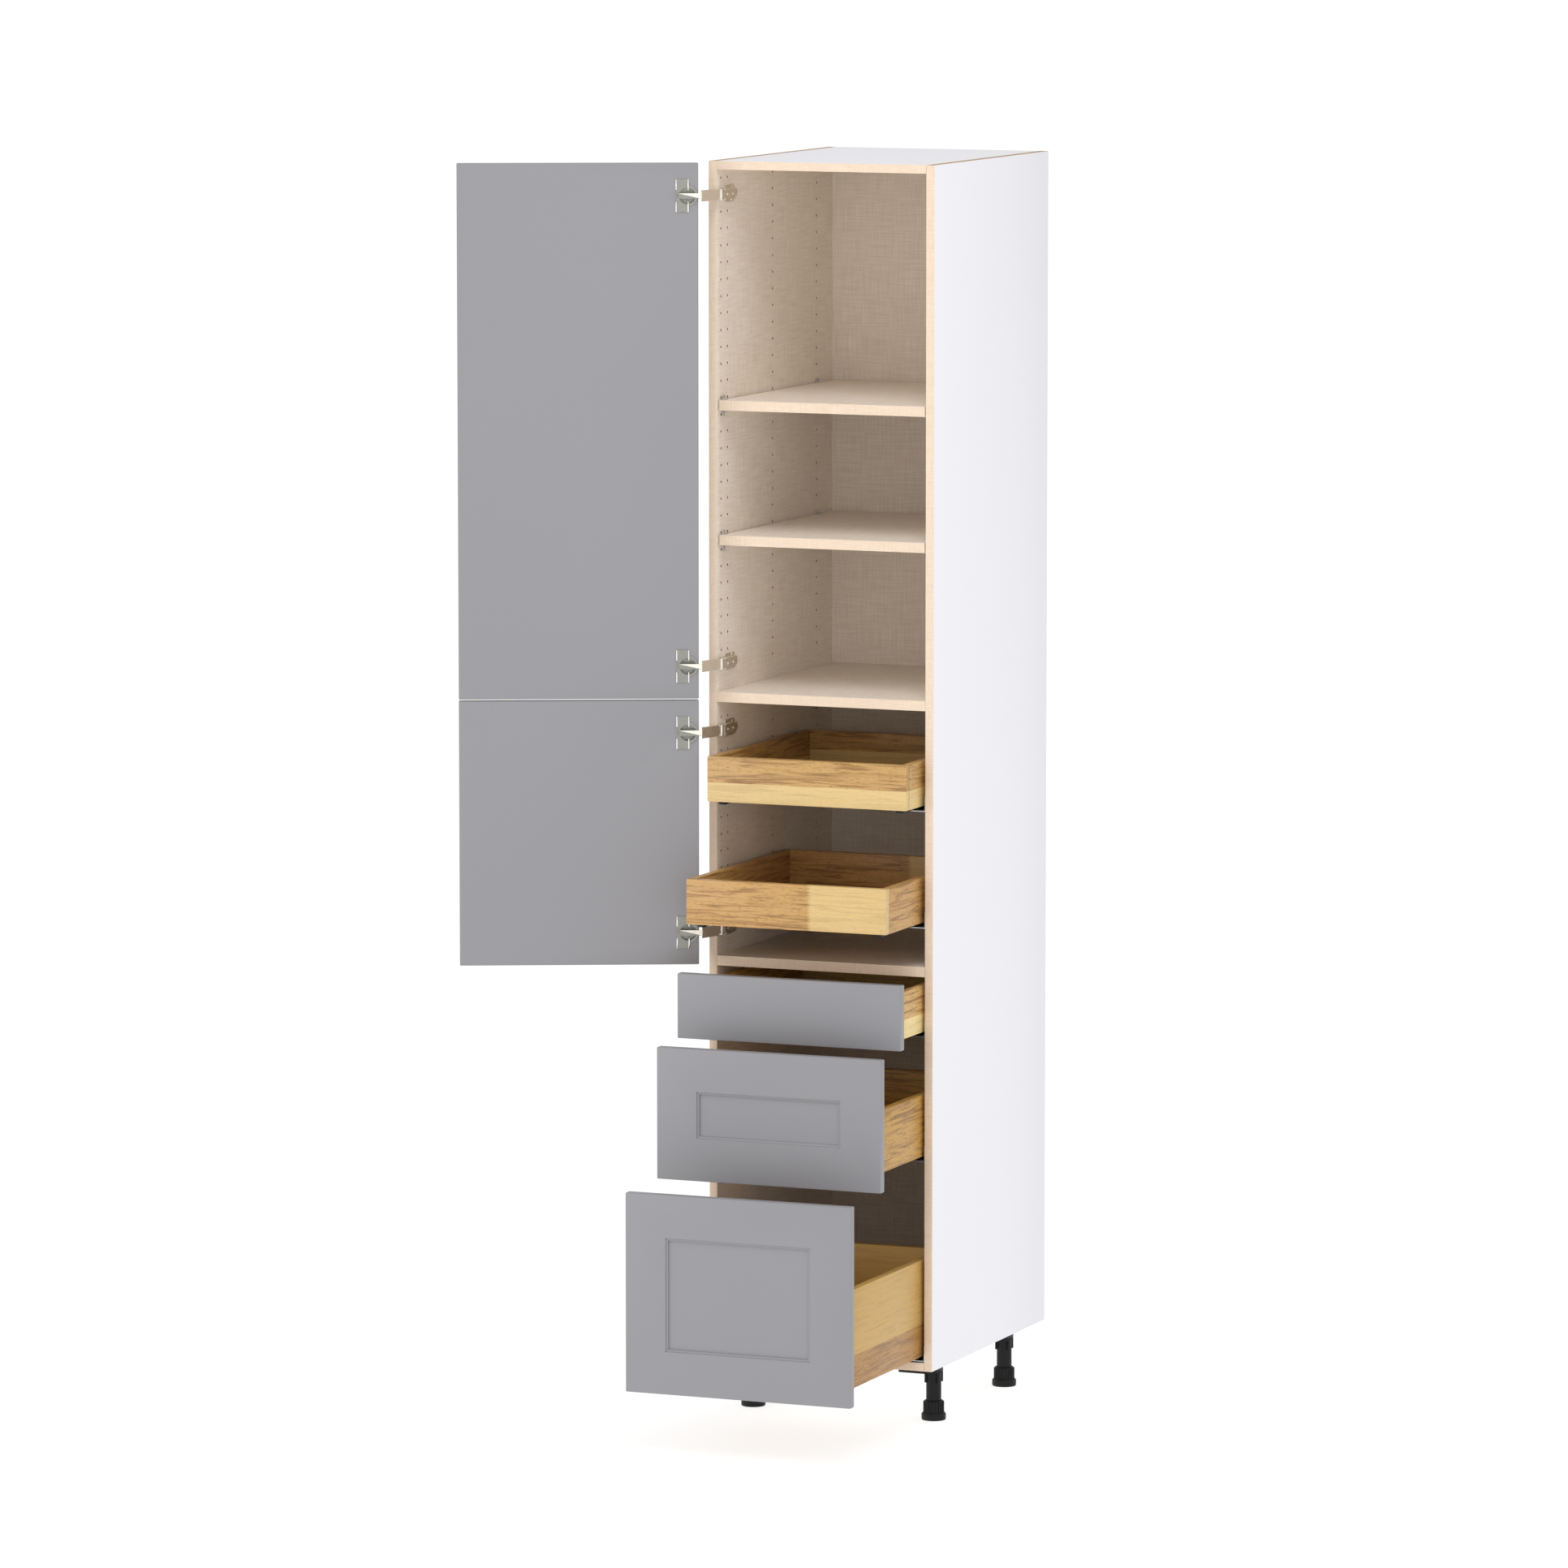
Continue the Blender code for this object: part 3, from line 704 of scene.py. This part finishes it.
@dataclass
class Site:
    """The cabinet's places in the frame."""

    corner: Vector = field(default_factory=lambda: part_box("side_left")[0])
    joints: dict = field(default_factory=lambda: {j["name"]: j for j in frame["joints"]})

    def carcass(self) -> Place:
        """The fixed carcass."""
        return Place("cabinet", Matrix.Translation(self.corner))

    def moved(self, body: str, shift: Sequence[float]) -> Place:
        """A sub-assembly that has slid by a shift."""
        return Place(body, Matrix.Translation(self.corner + Vector(shift)))

    def door(self, body: str) -> Place:
        """A door swung open about its hinge.

        Args:
            body: The door's body, whose joint has the same name.

        Returns:
            Its place.
        """
        joint = self.joints[f"{body}_hinge"]
        pivot = Vector(joint["pos_m"])
        swing = Matrix.Rotation(math.radians(joint["range_deg"][0]), 4, "Z")
        turn = Matrix.Translation(pivot) @ swing @ Matrix.Translation(-pivot)
        return Place(body, turn @ Matrix.Translation(self.corner))

    def size(self, node: str) -> tuple[Vector, Vector]:
        """A node's corners at rest, in cabinet coordinates."""
        low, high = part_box(node)
        return low - self.corner, high - self.corner


SITE = Site()


@dataclass
class Carcass:
    """Sides with their rows of shelf-pin holes, and the boards between them."""

    hole_radius: float = 2.5 * MM
    hole_depth: float = 11 * MM
    hole_pitch: float = 32 * MM
    top_hole: float = 2253.5 * MM
    columns: tuple[float, ...] = (21.5 * MM, 53.5 * MM, 277 * MM, 500.5 * MM)
    clear_of_board: float = 14 * MM
    edge_round: float = 0.6 * MM
    fitting_rows: tuple[float, ...] = (60 * MM, 300 * MM, 540 * MM)
    fitting_inset: float = 34 * MM

    def hole_heights(self) -> list[float]:
        """The heights of the holes that open between the fixed boards and above the deck."""
        split_low, split_high = SITE.size("fixed_shelf")
        deck = SITE.size("deck")[1].z
        heights = []
        height = self.top_hole
        while height > deck + self.clear_of_board:
            near = split_low.z - self.clear_of_board < height < split_high.z + self.clear_of_board
            if not near:
                heights.append(height)
            height -= self.hole_pitch
        return heights

    def side(self, name: str, faces_right: bool) -> None:
        """Builds a side panel, drilled and grooved.

        Args:
            name: The CAD node that it stands for.
            faces_right: Whether its inner face looks to the right.
        """
        low, high = SITE.size(name)
        shape = bmesh.new()
        soften(shape, block(shape, low, high), self.edge_round)
        inner = high.x if faces_right else low.x
        tool = bmesh.new()
        for column in self.columns:
            for height in self.hole_heights():
                rod(tool, (inner, column, height), self.hole_radius, 2 * self.hole_depth, "X", 12)
        back_low, back_high = SITE.size("back")
        gap = 0.3 * MM
        reach = 7 * MM
        over = 5 * MM
        block(
            tool,
            (inner - (reach if faces_right else over), back_low.y - gap, -over),
            (inner + (over if faces_right else reach), back_high.y + gap, high.z + over),
        )
        shape = carve(shape, tool)
        piece = finish_piece(
            shape, f"{name}_drilled", SITE.carcass(), [WHITE], [name], 50
        )
        top = SITE.corner.z + high.z
        front = SITE.corner.y
        face = SITE.corner.x + inner

        def pick(normal: Vector, centre: Vector) -> int:
            """Bands the front, leaves the top raw, lines the inside and paints shade on the holes'
            walls.
            """
            if centre.z > top - 0.1 * MM:
                return 3
            if centre.y < front + self.edge_round:
                return 2
            if abs(centre.x - face) < 0.1 * MM:
                return 1
            depth = abs(centre.x - face)
            in_hole = self.edge_round < depth < self.hole_depth + MM
            # The holes' walls take painted shade, darker than the raw board's edge.
            return 4 if in_hole and abs(normal.x) < 0.9 else 0

        looks = [WHITE, WALL_LINEN_LIT, BAND, RAW_EDGE, HOLE_SHADE]
        dress_faces(piece.data, looks, pick)

    def boards(self) -> None:
        """Dresses the boards that keep their CAD shape."""
        front = SITE.corner.y + 5 * MM

        def banded(normal: Vector, centre: Vector) -> int:
            """Bands a board's front edge."""
            return 1 if normal.y < -0.9 and centre.y < front else 0

        for node in ("bottom", "deck", "fixed_shelf", "loose_shelf_low", "loose_shelf_high"):
            dress_faces(frame["nodes"][node].data, [SHELF_LINEN_LIT, BAND], banded)

        def backed(normal: Vector, centre: Vector) -> int:
            """Whitens the back of a board."""
            return 1 if normal.y > 0.9 else 0

        for node in ("back", "hanging_rail"):
            dress_faces(frame["nodes"][node].data, [BACK_LINEN_LIT, WHITE], backed)

    def top(self) -> None:
        """Builds the top board, with the fittings' covers let in just below its face."""
        low, high = SITE.size("top")
        shape = bmesh.new()
        block(shape, low, high)
        tool = bmesh.new()
        for y in self.fitting_rows:
            for x in (low.x + self.fitting_inset, high.x - self.fitting_inset):
                rod(tool, (x, y, high.z), 4 * MM, MM, "Z", 20)
        piece = finish_piece(
            carve(shape, tool), "top_fitted", SITE.carcass(), [WHITE], ["top"]
        )
        face = SITE.corner.z + high.z
        front = SITE.corner.y + 5 * MM

        def pick(normal: Vector, centre: Vector) -> int:
            """Whitens the top, bands the front and leaves the covers tan."""
            if normal.z > 0.9:
                return 2 if centre.z > face - 0.1 * MM else 3
            return 1 if normal.y < -0.9 and centre.y < front else 0

        dress_faces(piece.data, [SHELF_LINEN_LIT, BAND, WHITE, RAW_EDGE], pick)

    def build(self) -> None:
        """Builds and dresses the carcass."""
        self.side("side_left", True)
        self.side("side_right", False)
        self.boards()
        self.top()


@dataclass
class ShelfClips:
    """Clear clips that hold each loose shelf: a peg, a seat under it and a lock above."""

    width: float = 16 * MM
    reach: float = 14 * MM
    sheet: float = 2.2 * MM
    lock: float = 9 * MM
    columns: tuple[float, ...] = (30 * MM, 500.5 * MM)

    def clip(
        self, shape: Shape, wall: float, inward: float, y: float, low: float, high: float
    ) -> None:
        """Adds one clip.

        Args:
            shape: The mesh to add to.
            wall: X of the wall.
            inward: 1 where the cabinet lies to the right of the wall, or -1.
            y: The clip's middle.
            low: The shelf's underside.
            high: The shelf's top.
        """
        gap = 0.3 * MM

        def slab(near: float, far: float, bottom: float, top: float, half: float) -> None:
            """Adds a rounded slab measured from the wall."""
            xs = sorted((wall + inward * near, wall + inward * far))
            verts = block(shape, (xs[0], y - half, bottom), (xs[1], y + half, top))
            soften(shape, verts, 0.5 * MM)

        half = self.width / 2
        slab(gap, 3.2 * MM, low - 12 * MM, high + 8 * MM, half * 0.8)
        slab(gap, self.reach, low - gap - self.sheet, low - gap, half)
        slab(gap, self.lock, high + gap, high + gap + self.sheet, half * 0.7)
        slab(gap, self.reach * 0.8, low - 9 * MM, low - gap, 1.2 * MM)
        rod(shape, (wall, y, low - 6 * MM), 2.3 * MM, 12 * MM, "X", 16)

    def build(self) -> None:
        """Builds four clips for each loose shelf."""
        left = SITE.size("side_left")[1].x
        right = SITE.size("side_right")[0].x
        for node in ("loose_shelf_low", "loose_shelf_high"):
            low, high = SITE.size(node)
            shape = bmesh.new()
            for y in self.columns:
                self.clip(shape, left, 1, y, low.z, high.z)
                self.clip(shape, right, -1, y, low.z, high.z)
            finish_piece(shape, f"{node}_clips", SITE.carcass(), [CLEAR])


@dataclass
class FrontBoard:
    """A door or drawer front with eased edges. A framed one has a sunk panel with two steps."""

    name: str
    width: tuple[float, float]
    height: tuple[float, float]
    place: Place
    framed: bool = True
    thickness: float = 19 * MM
    gap: float = 3 * MM
    border: float = 81.2 * MM
    edge_round: float = 2 * MM
    steps: tuple[tuple[float, float], ...] = (
        (0.7 * MM, -2.2 * MM),
        (3.6 * MM, -0.4 * MM),
        (0.7 * MM, -3.2 * MM),
    )

    def shape(self) -> Shape:
        """Models the board in its closed place."""
        shape = bmesh.new()
        low = (self.width[0], -self.gap - self.thickness, self.height[0])
        high = (self.width[1], -self.gap, self.height[1])
        soften(shape, block(shape, low, high), self.edge_round, 3)
        if not self.framed:
            return shape
        shape.faces.ensure_lookup_table()
        face = max(shape.faces, key=lambda f: -f.normal.y * f.calc_area())
        margin = self.border - self.edge_round
        for thickness, depth in ((margin, 0.0), *self.steps):
            bmesh.ops.inset_region(
                shape, faces=[face], thickness=thickness, depth=depth, use_even_offset=True
            )
        return shape

    def build(self) -> bpy.types.Object:
        """Builds a front that needs no bores."""
        return finish_piece(
            self.shape(), f"{self.name}_board", self.place, [GREY], [self.name], 25
        )


@dataclass
class Hinge:
    """A wide-opening cup hinge: plate and arm on the wall, link, and cup with its wing plate."""

    number: int
    door: str
    cup_number: int
    wing: tuple[float, float] = (19.1 * MM, 41.8 * MM)
    wing_height: float = 62 * MM
    bar_short: float = 6 * MM

    def height(self) -> float:
        """The height of the hinge's middle."""
        low, high = SITE.size(f"hinge_{self.number}_link")
        return (low.z + high.z) / 2

    def screw(self, shape: Shape, centre: Sequence[float], axis: str, radius: float) -> None:
        """Adds a domed screw head.

        Args:
            shape: The mesh to add to.
            centre: Its seat.
            axis: X or Y, out of the face.
            radius: Its radius.
        """
        out = {"X": Vector((1, 0, 0)), "Y": Vector((0, 1, 0))}[axis]
        middle = Vector(centre) + out * 0.7 * MM
        verts = rod(shape, middle, radius, 1.4 * MM, axis, 20, radius * 0.72)
        soften(shape, verts, 0.25 * MM, 1)

    def cup(self, reveal: float, z: float) -> None:
        """Adds the wing plate's rolled edges.

        Args:
            reveal: X of the door's hinged edge when it is shut.
            z: The hinge's height.
        """
        place = SITE.door(self.door)
        shape = bmesh.new()
        face = -3 * MM + 0.3 * MM
        left, right = reveal + self.wing[0], reveal + self.wing[1]
        half = self.wing_height / 2
        for x in (left, right):
            for low, high in ((z + 11 * MM, z + half), (z - half, z - 11 * MM)):
                verts = block(
                    shape, (x - 1.1 * MM, face, low), (x + 1.1 * MM, face + 2.2 * MM, high)
                )
                soften(shape, verts, 0.7 * MM)
        # The rolled edges are nickel drawn paler as a painted highlight.
        finish_piece(
            shape, f"hinge_{self.number}_cup_trim", place, [HIGHLIT_NICKEL], sharp=40
        )

    def arm(self, z: float) -> None:
        """Adds the arm's screws and plate edges, in nickel drawn paler as a painted highlight.

        Args:
            z: The hinge's height.
        """
        low, high = SITE.size(f"hinge_{self.number}_arm")
        shape = bmesh.new()
        self.screw(shape, (high.x, 48 * MM, z), "X", 3.6 * MM)
        self.screw(shape, (high.x, 22 * MM, z), "X", 2.8 * MM)
        self.screw(shape, (high.x - 7 * MM, 74 * MM, z), "X", 3.6 * MM)
        for sign in (1, -1):
            self.screw(shape, (low.x + 3 * MM, 66 * MM, z + sign * 12 * MM), "X", 2.2 * MM)
            verts = block(
                shape,
                (high.x - 2 * MM, 10 * MM, z + sign * 9.2 * MM - 0.5 * MM),
                (high.x + 0.9 * MM, 58 * MM, z + sign * 9.2 * MM + 0.5 * MM),
            )
            soften(shape, verts, 0.3 * MM)
        name = f"hinge_{self.number}_arm_trim"
        finish_piece(shape, name, SITE.carcass(), [HIGHLIT_NICKEL], sharp=40)

    def build(self) -> None:
        """Dresses the hinge's CAD pieces and adds its trim."""
        z = self.height()
        looks = [NICKEL, SHADED_NICKEL, HIGHLIT_NICKEL]
        bar_end = SITE.corner.x - self.bar_short

        def shade_and_highlight(normal: Vector, centre: Vector) -> int:
            """Paints shade on the bar over the cup and a highlight on its upward faces."""
            if centre.x > bar_end:
                return 0
            return 2 if normal.z > 0.7 else 1

        dress_faces(frame["nodes"][f"hinge_{self.number}_link"].data, looks, shade_and_highlight)
        arm = frame["nodes"][f"hinge_{self.number}_arm"]
        dress_faces(arm.data, looks, lambda normal, centre: 0)
        cup = frame["nodes"][f"{self.door}_cup_{self.cup_number}"]
        # Every face of the cup takes nickel with painted shade.
        dress_faces(cup.data, looks, lambda normal, centre: 1)
        self.cup(1.5 * MM, z)
        self.arm(z)


@dataclass
class WoodBox:
    """A drawer box or tray of separate boards round a raised floor."""

    node: str
    place: Place
    front_wall: float
    floor_rise: float
    floor: float
    glue_line: float
    looks: tuple[str, str]
    joint: float = 9.0
    side_joint: float = 9.0
    upper_is_dark: bool = True
    shift: float = 0.0
    wall: float = 15 * MM
    edge_round: float = 1.0 * MM

    def wood(self, part: str, run: Run, low: Vector, joint: float, shift: float) -> Rubberwood:
        """Picks a board's finish.

        Args:
            part: The board.
            run: Its grain's direction.
            low: Its lowest corner, in the frame.
            joint: Where along it a finger joint falls.
            shift: Where in the noise it is cut from.

        Returns:
            The finish.
        """
        pale, dark = self.looks
        return Rubberwood(
            f"lacquered_rubberwood_{self.node}_{part}",
            pale,
            0.42,
            dark=dark,
            run=run,
            start=low[run.value],
            low=low.z,
            glue_line=self.glue_line,
            joint=joint,
            upper_is_dark=self.upper_is_dark,
            shift=self.shift + shift,
        )

    def build(self) -> None:
        """Builds the box's five boards."""
        low, high = SITE.size(self.node)
        inner_low = Vector((low.x + self.wall, low.y + self.front_wall, low.z))
        inner_high = Vector((high.x - self.wall, high.y - self.wall, high.z))
        boards = {
            "front": (low, Vector((high.x, inner_low.y, high.z)), Run.ACROSS, self.joint, 0.0),
            "left": (
                Vector((low.x, inner_low.y, low.z)),
                Vector((inner_low.x, high.y, high.z)),
                Run.DEEP,
                self.side_joint,
                3.1,
            ),
            "right": (
                Vector((inner_high.x, inner_low.y, low.z)),
                high,
                Run.DEEP,
                self.side_joint,
                5.7,
            ),
            "back": (
                Vector((inner_low.x, inner_high.y, low.z + 13 * MM)),
                Vector((inner_high.x, high.y, high.z)),
                Run.ACROSS,
                self.joint,
                8.3,
            ),
        }
        for part, (start, end, run, joint, shift) in boards.items():
            shape = bmesh.new()
            soften(shape, block(shape, start, end), self.edge_round)
            stands_for = [self.node] if part == "front" else []
            look = self.wood(part, run, start + SITE.corner, joint, shift)
            finish_piece(
                shape, f"{self.node}_{part}", self.place, [look], stands_for, 40
            )
        shape = bmesh.new()
        lip = 5 * MM
        block(
            shape,
            (inner_low.x - lip, inner_low.y - lip, low.z + self.floor_rise),
            (inner_high.x + lip, inner_high.y + lip, low.z + self.floor_rise + self.floor),
        )
        base = self.wood("floor", Run.ACROSS, inner_low + SITE.corner, 9.0, 11.9)
        finish_piece(shape, f"{self.node}_floor", self.place, [base])


@dataclass
class Slides:
    """The undermount slides of one box: cabinet members, runners, and the member under the box."""

    name: str
    carried: Place
    box: str

    def build(self) -> None:
        """Dresses the slide members and runners, and adds the box-side members with their side
        flanges.
        """
        for side in ("left", "right"):
            member = frame["nodes"][f"{self.name}_slide_{side}"]
            dress_faces(member.data, [ZINC], lambda normal, centre: 0)
            runner = frame["nodes"][f"{self.name}_runner_{side}"]
            dress_faces(runner.data, [DARK_STEEL], lambda normal, centre: 0)
            low, high = SITE.size(f"{self.name}_runner_{side}")
            box_low, box_high = SITE.size(self.box)
            shape = bmesh.new()
            top = box_low.z + 12.5 * MM
            y_low, y_high = box_low.y + 18 * MM, box_high.y - MM
            over = 1.6 * MM
            verts = block(
                shape, (low.x - over, y_low, high.z + over), (high.x + over, y_high, top)
            )
            soften(shape, verts, 0.6 * MM)
            for x in (low.x - over, high.x + 0.4 * MM):
                block(shape, (x, y_low, high.z - 4 * MM), (x + 1.2 * MM, y_high, top - MM))
            piece_name = f"{self.name}_box_member_{side}"
            finish_piece(shape, piece_name, self.carried, [ZINC])


@dataclass
class Leg:
    """A levelling leg: plate with ribs, tube, and a foot with a ribbed collar and base."""

    corner: str
    ribs: int = 20

    def build(self) -> None:
        """Builds the leg and its foot in place of their plain solids."""
        foot_low, foot_high = SITE.size(f"foot_{self.corner}")
        leg_low, leg_high = SITE.size(f"leg_{self.corner}")
        x, y = (foot_low.x + foot_high.x) / 2, (foot_low.y + foot_high.y) / 2
        floor = foot_low.z
        shape = bmesh.new()
        plate_low = leg_high.z - 25.7 * MM
        verts = block(
            shape,
            (leg_low.x, leg_low.y, plate_low + 17 * MM),
            (leg_high.x, leg_high.y, leg_high.z),
        )
        soften(shape, verts, 2 * MM, 3)
        inset = 5 * MM
        verts = block(
            shape,
            (leg_low.x + inset, leg_low.y + inset, plate_low),
            (leg_high.x - inset, leg_high.y - inset, plate_low + 18 * MM),
        )
        soften(shape, verts, 2 * MM, 3)
        tube_low = leg_low.z
        tube_mid = (tube_low + plate_low + 4 * MM) / 2
        verts = rod(shape, (x, y, tube_mid), 14.5 * MM, plate_low + 4 * MM - tube_low, "Z", 48)
        for turn in range(4):
            angle = math.tau * (turn + 0.5) / 4
            outward = Vector((math.cos(angle), math.sin(angle)))
            start = Vector((x, y)) + outward * 13 * MM
            end = Vector((x, y)) + outward * 19 * MM
            bar(shape, start, end, 2 * MM, plate_low - 16 * MM, plate_low + 3 * MM)
        finish_piece(
            shape,
            f"leg_{self.corner}_moulding",
            SITE.carcass(),
            [BLACK],
            [f"leg_{self.corner}"],
        )
        shape = bmesh.new()
        for low, high, radius, end_radius in (
            (0.0, 2 * MM, 22.6 * MM, 23.5 * MM),
            (2 * MM, 11 * MM, 23.5 * MM, 23.5 * MM),
            (11 * MM, 14.8 * MM, 23.5 * MM, 20.5 * MM),
            (14.8 * MM, 34.5 * MM, 19.0 * MM, 19.0 * MM),
            (34.5 * MM, 37.1 * MM, 19.6 * MM, 17.5 * MM),
        ):
            middle = (x, y, floor + (low + high) / 2)
            rod(shape, middle, radius, high - low, "Z", 48, end_radius)
        for turn in range(self.ribs):
            angle = math.tau * turn / self.ribs
            outward = Vector((math.cos(angle), math.sin(angle)))
            start = Vector((x, y)) + outward * 18 * MM
            end = Vector((x, y)) + outward * 20.1 * MM
            bar(shape, start, end, 3 * MM, floor + 15.5 * MM, floor + 35 * MM)
        stem_top = foot_high.z
        stem_mid = (floor + 30 * MM + stem_top) / 2
        rod(shape, (x, y, stem_mid), 10.5 * MM, stem_top - floor - 30 * MM, "Z", 32)
        foot = Place(f"foot_{self.corner}", SITE.carcass().matrix)
        finish_piece(
            shape,
            f"foot_{self.corner}_moulding",
            foot,
            [BLACK],
            [f"foot_{self.corner}"],
        )


@dataclass
class Door:
    """A door board bored for its hinge cups."""

    name: str
    bores: int = 2

    def build(self) -> None:
        """Builds the door in its open place."""
        low, high = SITE.size(self.name)
        width = SITE.size("side_right")[1].x
        reveal = 1.5 * MM
        place = SITE.door(self.name)
        board = FrontBoard(self.name, (reveal, width - reveal), (low.z, high.z), place)
        shape = board.shape()
        tool = bmesh.new()
        for number in range(1, self.bores + 1):
            cup_low, cup_high = SITE.size(f"{self.name}_cup_{number}")
            z = (cup_low.z + cup_high.z) / 2
            rod(tool, (reveal + 21 * MM, -8.5 * MM, z), 17.5 * MM, 13.4 * MM, "Y", 48)
        finish_piece(
            carve(shape, tool), f"{self.name}_board", place, [GREY], [self.name], 25
        )


@dataclass
class Studio:
    """Camera, soft lights and the pale floor."""

    eye: tuple[float, float, float] = (6.4814, -15.3561, 3.1051)
    yaw: float = 22.3941
    pitch: float = 6.8510
    sensor: float = 36.0
    lens: float = 202.73

    def camera(self) -> None:
        """Aims a long lens down a little at the cabinet from its right."""
        data = bpy.data.cameras.new("camera")
        data.sensor_width = self.sensor
        data.lens = self.lens
        data.clip_end = 300
        camera = bpy.data.objects.new("camera", data)
        camera.location = SITE.corner + Vector(self.eye)
        camera.rotation_euler = (math.radians(90 - self.pitch), 0, math.radians(self.yaw))
        bpy.context.scene.collection.objects.link(camera)
        bpy.context.scene.camera = camera

    def lamp(
        self,
        name: str,
        spot: Sequence[float],
        target: Sequence[float],
        size: float,
        power: float,
    ) -> None:
        """Adds a large soft lamp.

        Args:
            name: Its name.
            spot: Where it stands.
            target: What it looks at.
            size: Its side.
            power: Its power, in watts.
        """
        data = bpy.data.lights.new(name, "AREA")
        data.size = size
        data.energy = power
        lamp = bpy.data.objects.new(name, data)
        lamp.location = spot
        direction = Vector(target) - Vector(spot)
        lamp.rotation_euler = direction.to_track_quat("-Z", "Y").to_euler()
        bpy.context.scene.collection.objects.link(lamp)

    def floor(self) -> None:
        """Lays a pale floor far past the view."""
        shape = bmesh.new()
        bmesh.ops.create_grid(shape, x_segments=1, y_segments=1, size=120)
        mesh = bpy.data.meshes.new("floor")
        shape.to_mesh(mesh)
        shape.free()
        mesh.materials.append(Glow("pale_floor", "989898", 0.9).material())
        floor = bpy.data.objects.new("floor", mesh)
        bpy.context.scene.collection.objects.link(floor)

    def sky(self) -> None:
        """Surrounds the scene with even white light."""
        world = bpy.data.worlds.new("studio")
        world.use_nodes = True
        back = world.node_tree.nodes["Background"]
        back.inputs["Color"].default_value = linear("FFFFFF")
        back.inputs["Strength"].default_value = 0.72
        bpy.context.scene.world = world
        bpy.context.scene.view_settings.view_transform = "Standard"

    def build(self) -> None:
        """Sets up the studio."""
        self.camera()
        self.floor()
        self.sky()
        self.lamp("key", (2.4, -4.9, 8.6), (0, 0, 1.2), 4.0, 200)
        self.lamp("front_fill", (3.6, -8.4, 2.8), (0, 0, 1.2), 4.0, 55)
        self.lamp("left_fill", (-6.0, -5.6, 1.6), (0, 0, 0.9), 3.0, 95)


def drawers() -> None:
    """Builds the three drawers."""
    details = (
        ("drawer_1", False, 36 * MM, True, ("F0D898", "D6AD6C"), 0.0),
        ("drawer_2", True, 0.0, True, ("CFAB62", "C6994E"), 17.0),
        ("drawer_3", True, 62 * MM, False, ("CDA55B", "B58646"), 31.0),
    )
    closed_front = -22 * MM
    for name, framed, glue_line, upper_is_dark, looks, shift in details:
        low, high = SITE.size(f"{name}_front")
        place = Place(name, SITE.moved(name, (0, low.y - closed_front, 0)).matrix)
        FrontBoard(f"{name}_front", (low.x, high.x), (low.z, high.z), place, framed).build()
        fixed = Place(name, SITE.carcass().matrix)
        WoodBox(
            f"{name}_box",
            fixed,
            15 * MM,
            13 * MM,
            6 * MM,
            glue_line,
            looks,
            upper_is_dark=upper_is_dark,
            shift=shift,
        ).build()
        Slides(name, fixed, f"{name}_box").build()


def trays() -> None:
    """Builds the two roll-out trays."""
    details = (
        ("tray_1", 37 * MM, ("E1C386", "C79E60"), 9.0, 43.0),
        ("tray_2", 0.0, ("DBBB7E", "C89C5E"), 0.245, 59.0),
    )
    for name, glue_line, looks, joint, shift in details:
        fixed = Place(name, SITE.carcass().matrix)
        box = WoodBox(name, fixed, 17 * MM, 13 * MM, 10 * MM, glue_line, looks, joint, shift=shift)
        box.build()
        Slides(name, fixed, name).build()


def main() -> None:
    """Builds the cabinet's looks in order."""
    logging.basicConfig(level=logging.INFO, format="%(name)s %(message)s")
    Studio().build()
    Carcass().build()
    ShelfClips().build()
    for name in ("door_upper", "door_lower"):
        Door(name).build()
    for number, (door, cup) in enumerate(
        (("door_upper", 1), ("door_upper", 2), ("door_lower", 1), ("door_lower", 2)), 1
    ):
        Hinge(number, door, cup).build()
    drawers()
    trays()
    for corner in ("front_left", "front_right", "rear_left", "rear_right"):
        Leg(corner).build()


if __name__ == "__main__":
    main()
